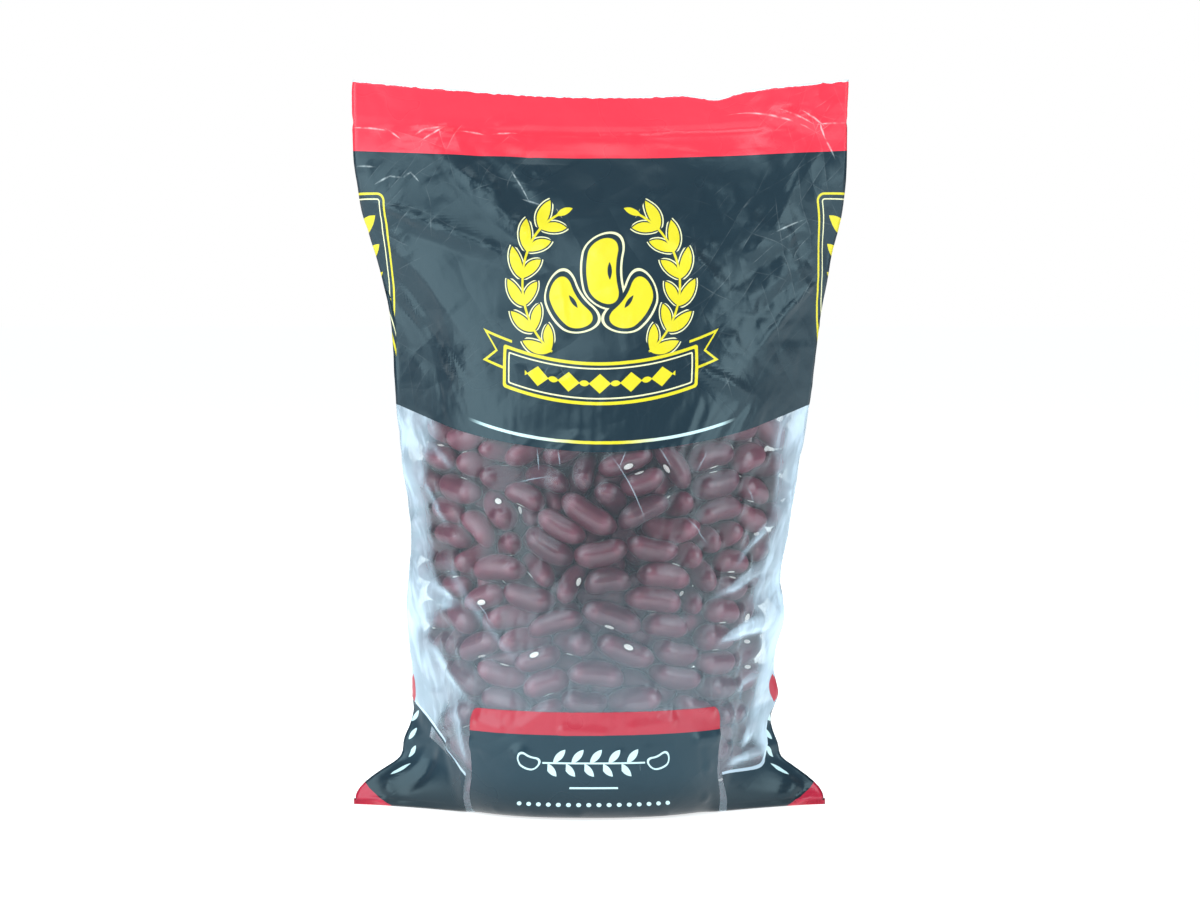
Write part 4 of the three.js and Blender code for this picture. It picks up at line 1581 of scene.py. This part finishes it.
def window_finish():
    """Clear film over the beans, cloudy where it stands off them, with painted glare and highlights,
    with the label and the ears.
    """
    f = Finish("window_film")
    spot = FilmPlace(f)
    header = f.inside(header_edge(spot.across) - spot.height)
    line, line_tone = arc_line(f, spot)
    low_ink, low_place, fold, base = low_print(f, spot)
    ink = f.mix(f.either(low_place, base) * (1 - header), f.mix(line, BLACK, line_tone), low_ink)
    # The print gives way to the painted highlight along the ears' fold
    printed = f.either(header, low_place * (1 - fold), base)
    relief, broad, _ = film_surface(f, spot, 0.3)
    veil = veil_cloud_and_glare(f, spot, fold, broad)
    # Diffuse film that carries the cloudiness and the painted glare and highlights
    cloud_glare_bsdf = f.node("ShaderNodeBsdfDiffuse", {}, {"Color": CLOUD_AND_GLARE, "Normal": relief})
    clear = f.node("ShaderNodeBsdfTransparent", {}, {"Color": CLEAR})
    veiled = f.node("ShaderNodeMixShader", {}, {0: veil, 1: clear, 2: cloud_glare_bsdf})
    gloss = f.node(
        "ShaderNodeBsdfGlossy", {}, {"Color": MIRRORED, "Roughness": 0.25, "Normal": relief}
    )
    glance = f.node("ShaderNodeFresnel", {}, {"IOR": 1.5, "Normal": relief})
    window = f.node("ShaderNodeMixShader", {}, {0: glance, 1: veiled, 2: gloss})
    inked = ink_shader(f, ink, relief, broad)
    return f.close(f.node("ShaderNodeMixShader", {}, {0: printed, 1: window, 2: inked}))


def bean_finish():
    """Dark red mottled skin with a pale scar in a dark ring on the hollow side; the scar also glows
    faintly, which is painted light.
    """
    f = Finish("bean_skin")
    own = f.node("ShaderNodeAttribute", {"attribute_name": "own_place"}, out=1)
    tone = f.node("ShaderNodeAttribute", {"attribute_name": "tone"}, out=2)
    x, y, z = f.split(own)
    mottle = f.noise(own, 0.9, 3, Roughness=0.6)
    fleck = f.noise(own, 5, 2)
    skin = f.mix(tone, DARK_SKIN, LIGHT_SKIN)
    skin = f.mix(f.ramp(mottle, (0.45, 0.8)) * 0.5, skin, SKIN_CLOUDS)
    skin = f.mix(f.ramp(fleck, (0.55, 0.85)) * 0.35, skin, SKIN_FLECKS)
    hollow = f.inside(y + 0.5, 0.3)
    ring = f.inside(f.length(x / 1.9, z / 1.3) - 1, 0.3) * hollow
    skin = f.mix(ring * 0.6, skin, SCAR_RING)
    scar = f.inside(f.length(x / 1.35, z / 0.8) - 1, 0.15) * hollow
    skin = f.mix(scar, skin, SCAR)
    relief = f.node("ShaderNodeBump", {}, {"Strength": 0.3, "Distance": 0.0002, "Height": mottle})
    inputs = {
        "Base Color": skin,
        "Roughness": 0.3 + 0.2 * mottle,
        "Normal": relief,
        "Coat Weight": 0.15,
        "Coat Roughness": 0.2,
        # Painted light: the scar glows faintly so it stays bright under the film
        "Emission Color": f.mix(scar, (0, 0, 0, 1), (1, 1, 1, 1)),
        "Emission Strength": 0.35,
    }
    return f.close(f.node("ShaderNodeBsdfPrincipled", {}, inputs))


def floor_finish():
    """Bright matt floor that meets the white backdrop."""
    f = Finish("studio_floor")
    inputs = {
        "Base Color": (0.85, 0.87, 0.87, 1),
        "Roughness": 0.8,
        "Emission Color": (1, 1, 1, 1),
        "Emission Strength": 0.7,
    }
    return f.close(f.node("ShaderNodeBsdfPrincipled", {}, inputs))


# Studio, in metres: the photo's view, and each lamp's name, place, size and power
VIEW_DISTANCE = 0.9
VIEW_RISE = math.radians(2.5)
VIEW_WIDTH = 0.342
AIM = Vector((0, 0, 0.1015))
FLOOR_SIZE = 60
SKY = (0.93, 0.97, 1, 1)
SKY_STRENGTH = 0.36
LAMP_TINT = (0.88, 0.97, 1)
LAMPS = [
    ("left_light", (-1.08, -0.75, 0.52), 1.1, 12.6),
    ("front_light", (-0.35, -1.2, 1.0), 0.6, 4),
    ("right_light", (1.12, -0.72, 0.5), 0.8, 7),
    ("top_light", (0, 0.1, 1.4), 0.9, 5),
    ("back_light", (0.5, 1.2, 0.9), 0.8, 5),
]


def lay_floor():
    """A wide floor at the foot of the bag."""
    bare()
    bpy.ops.mesh.primitive_plane_add(size=FLOOR_SIZE, location=(0, 0, 0))
    piece = bpy.context.object
    piece.name = "studio_floor"
    piece.data.materials.append(floor_finish())
    return piece


def aimed(name, data, place):
    """A camera or a lamp at a place, aimed at the bag."""
    made = bpy.data.objects.new(name, data)
    bpy.context.scene.collection.objects.link(made)
    made.location = place
    made.rotation_euler = (AIM - place).to_track_quat("-Z", "Y").to_euler()
    return made


def set_camera():
    """The photo's view: nearly level, from the front."""
    lens = bpy.data.cameras.new("photo_view")
    lens.sensor_fit = "HORIZONTAL"
    lens.angle = 2 * math.atan(VIEW_WIDTH / 2 / VIEW_DISTANCE)
    eye = AIM + Vector((0, -math.cos(VIEW_RISE), math.sin(VIEW_RISE))) * VIEW_DISTANCE
    bpy.context.scene.camera = aimed("photo_view", lens, eye)


def set_sky():
    """A dim sky that lights the bag, and a white backdrop where the camera looks past it."""
    world = bpy.data.worlds.new("studio")
    world.use_nodes = True
    sky = world.node_tree
    around = sky.nodes["Background"]
    around.inputs[0].default_value = SKY
    around.inputs[1].default_value = SKY_STRENGTH
    backdrop = sky.nodes.new("ShaderNodeBackground")
    backdrop.inputs[0].default_value = (1, 1, 1, 1)
    ray = sky.nodes.new("ShaderNodeLightPath")
    seen = sky.nodes.new("ShaderNodeMixShader")
    sky.links.new(ray.outputs["Is Camera Ray"], seen.inputs[0])
    sky.links.new(around.outputs[0], seen.inputs[1])
    sky.links.new(backdrop.outputs[0], seen.inputs[2])
    sky.links.new(seen.outputs[0], sky.nodes["World Output"].inputs[0])
    bpy.context.scene.world = world
    bpy.context.scene.view_settings.view_transform = "Standard"


def set_lamps():
    """Soft square lamps round the bag."""
    for name, place, size, power in LAMPS:
        light = bpy.data.lights.new(name, "AREA")
        light.size = size
        light.energy = power
        light.color = LAMP_TINT
        aimed(name, light, Vector(place))


# The bag
settled = settle_beans()
bag_piece = build_film(*shape_film(settled))
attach(bag_piece, "root")
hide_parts("bean_bag")

bean_piece = build_beans(settled)
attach(bean_piece, "root")
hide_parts("bean_bag")

floor = lay_floor()
set_camera()
set_sky()
set_lamps()
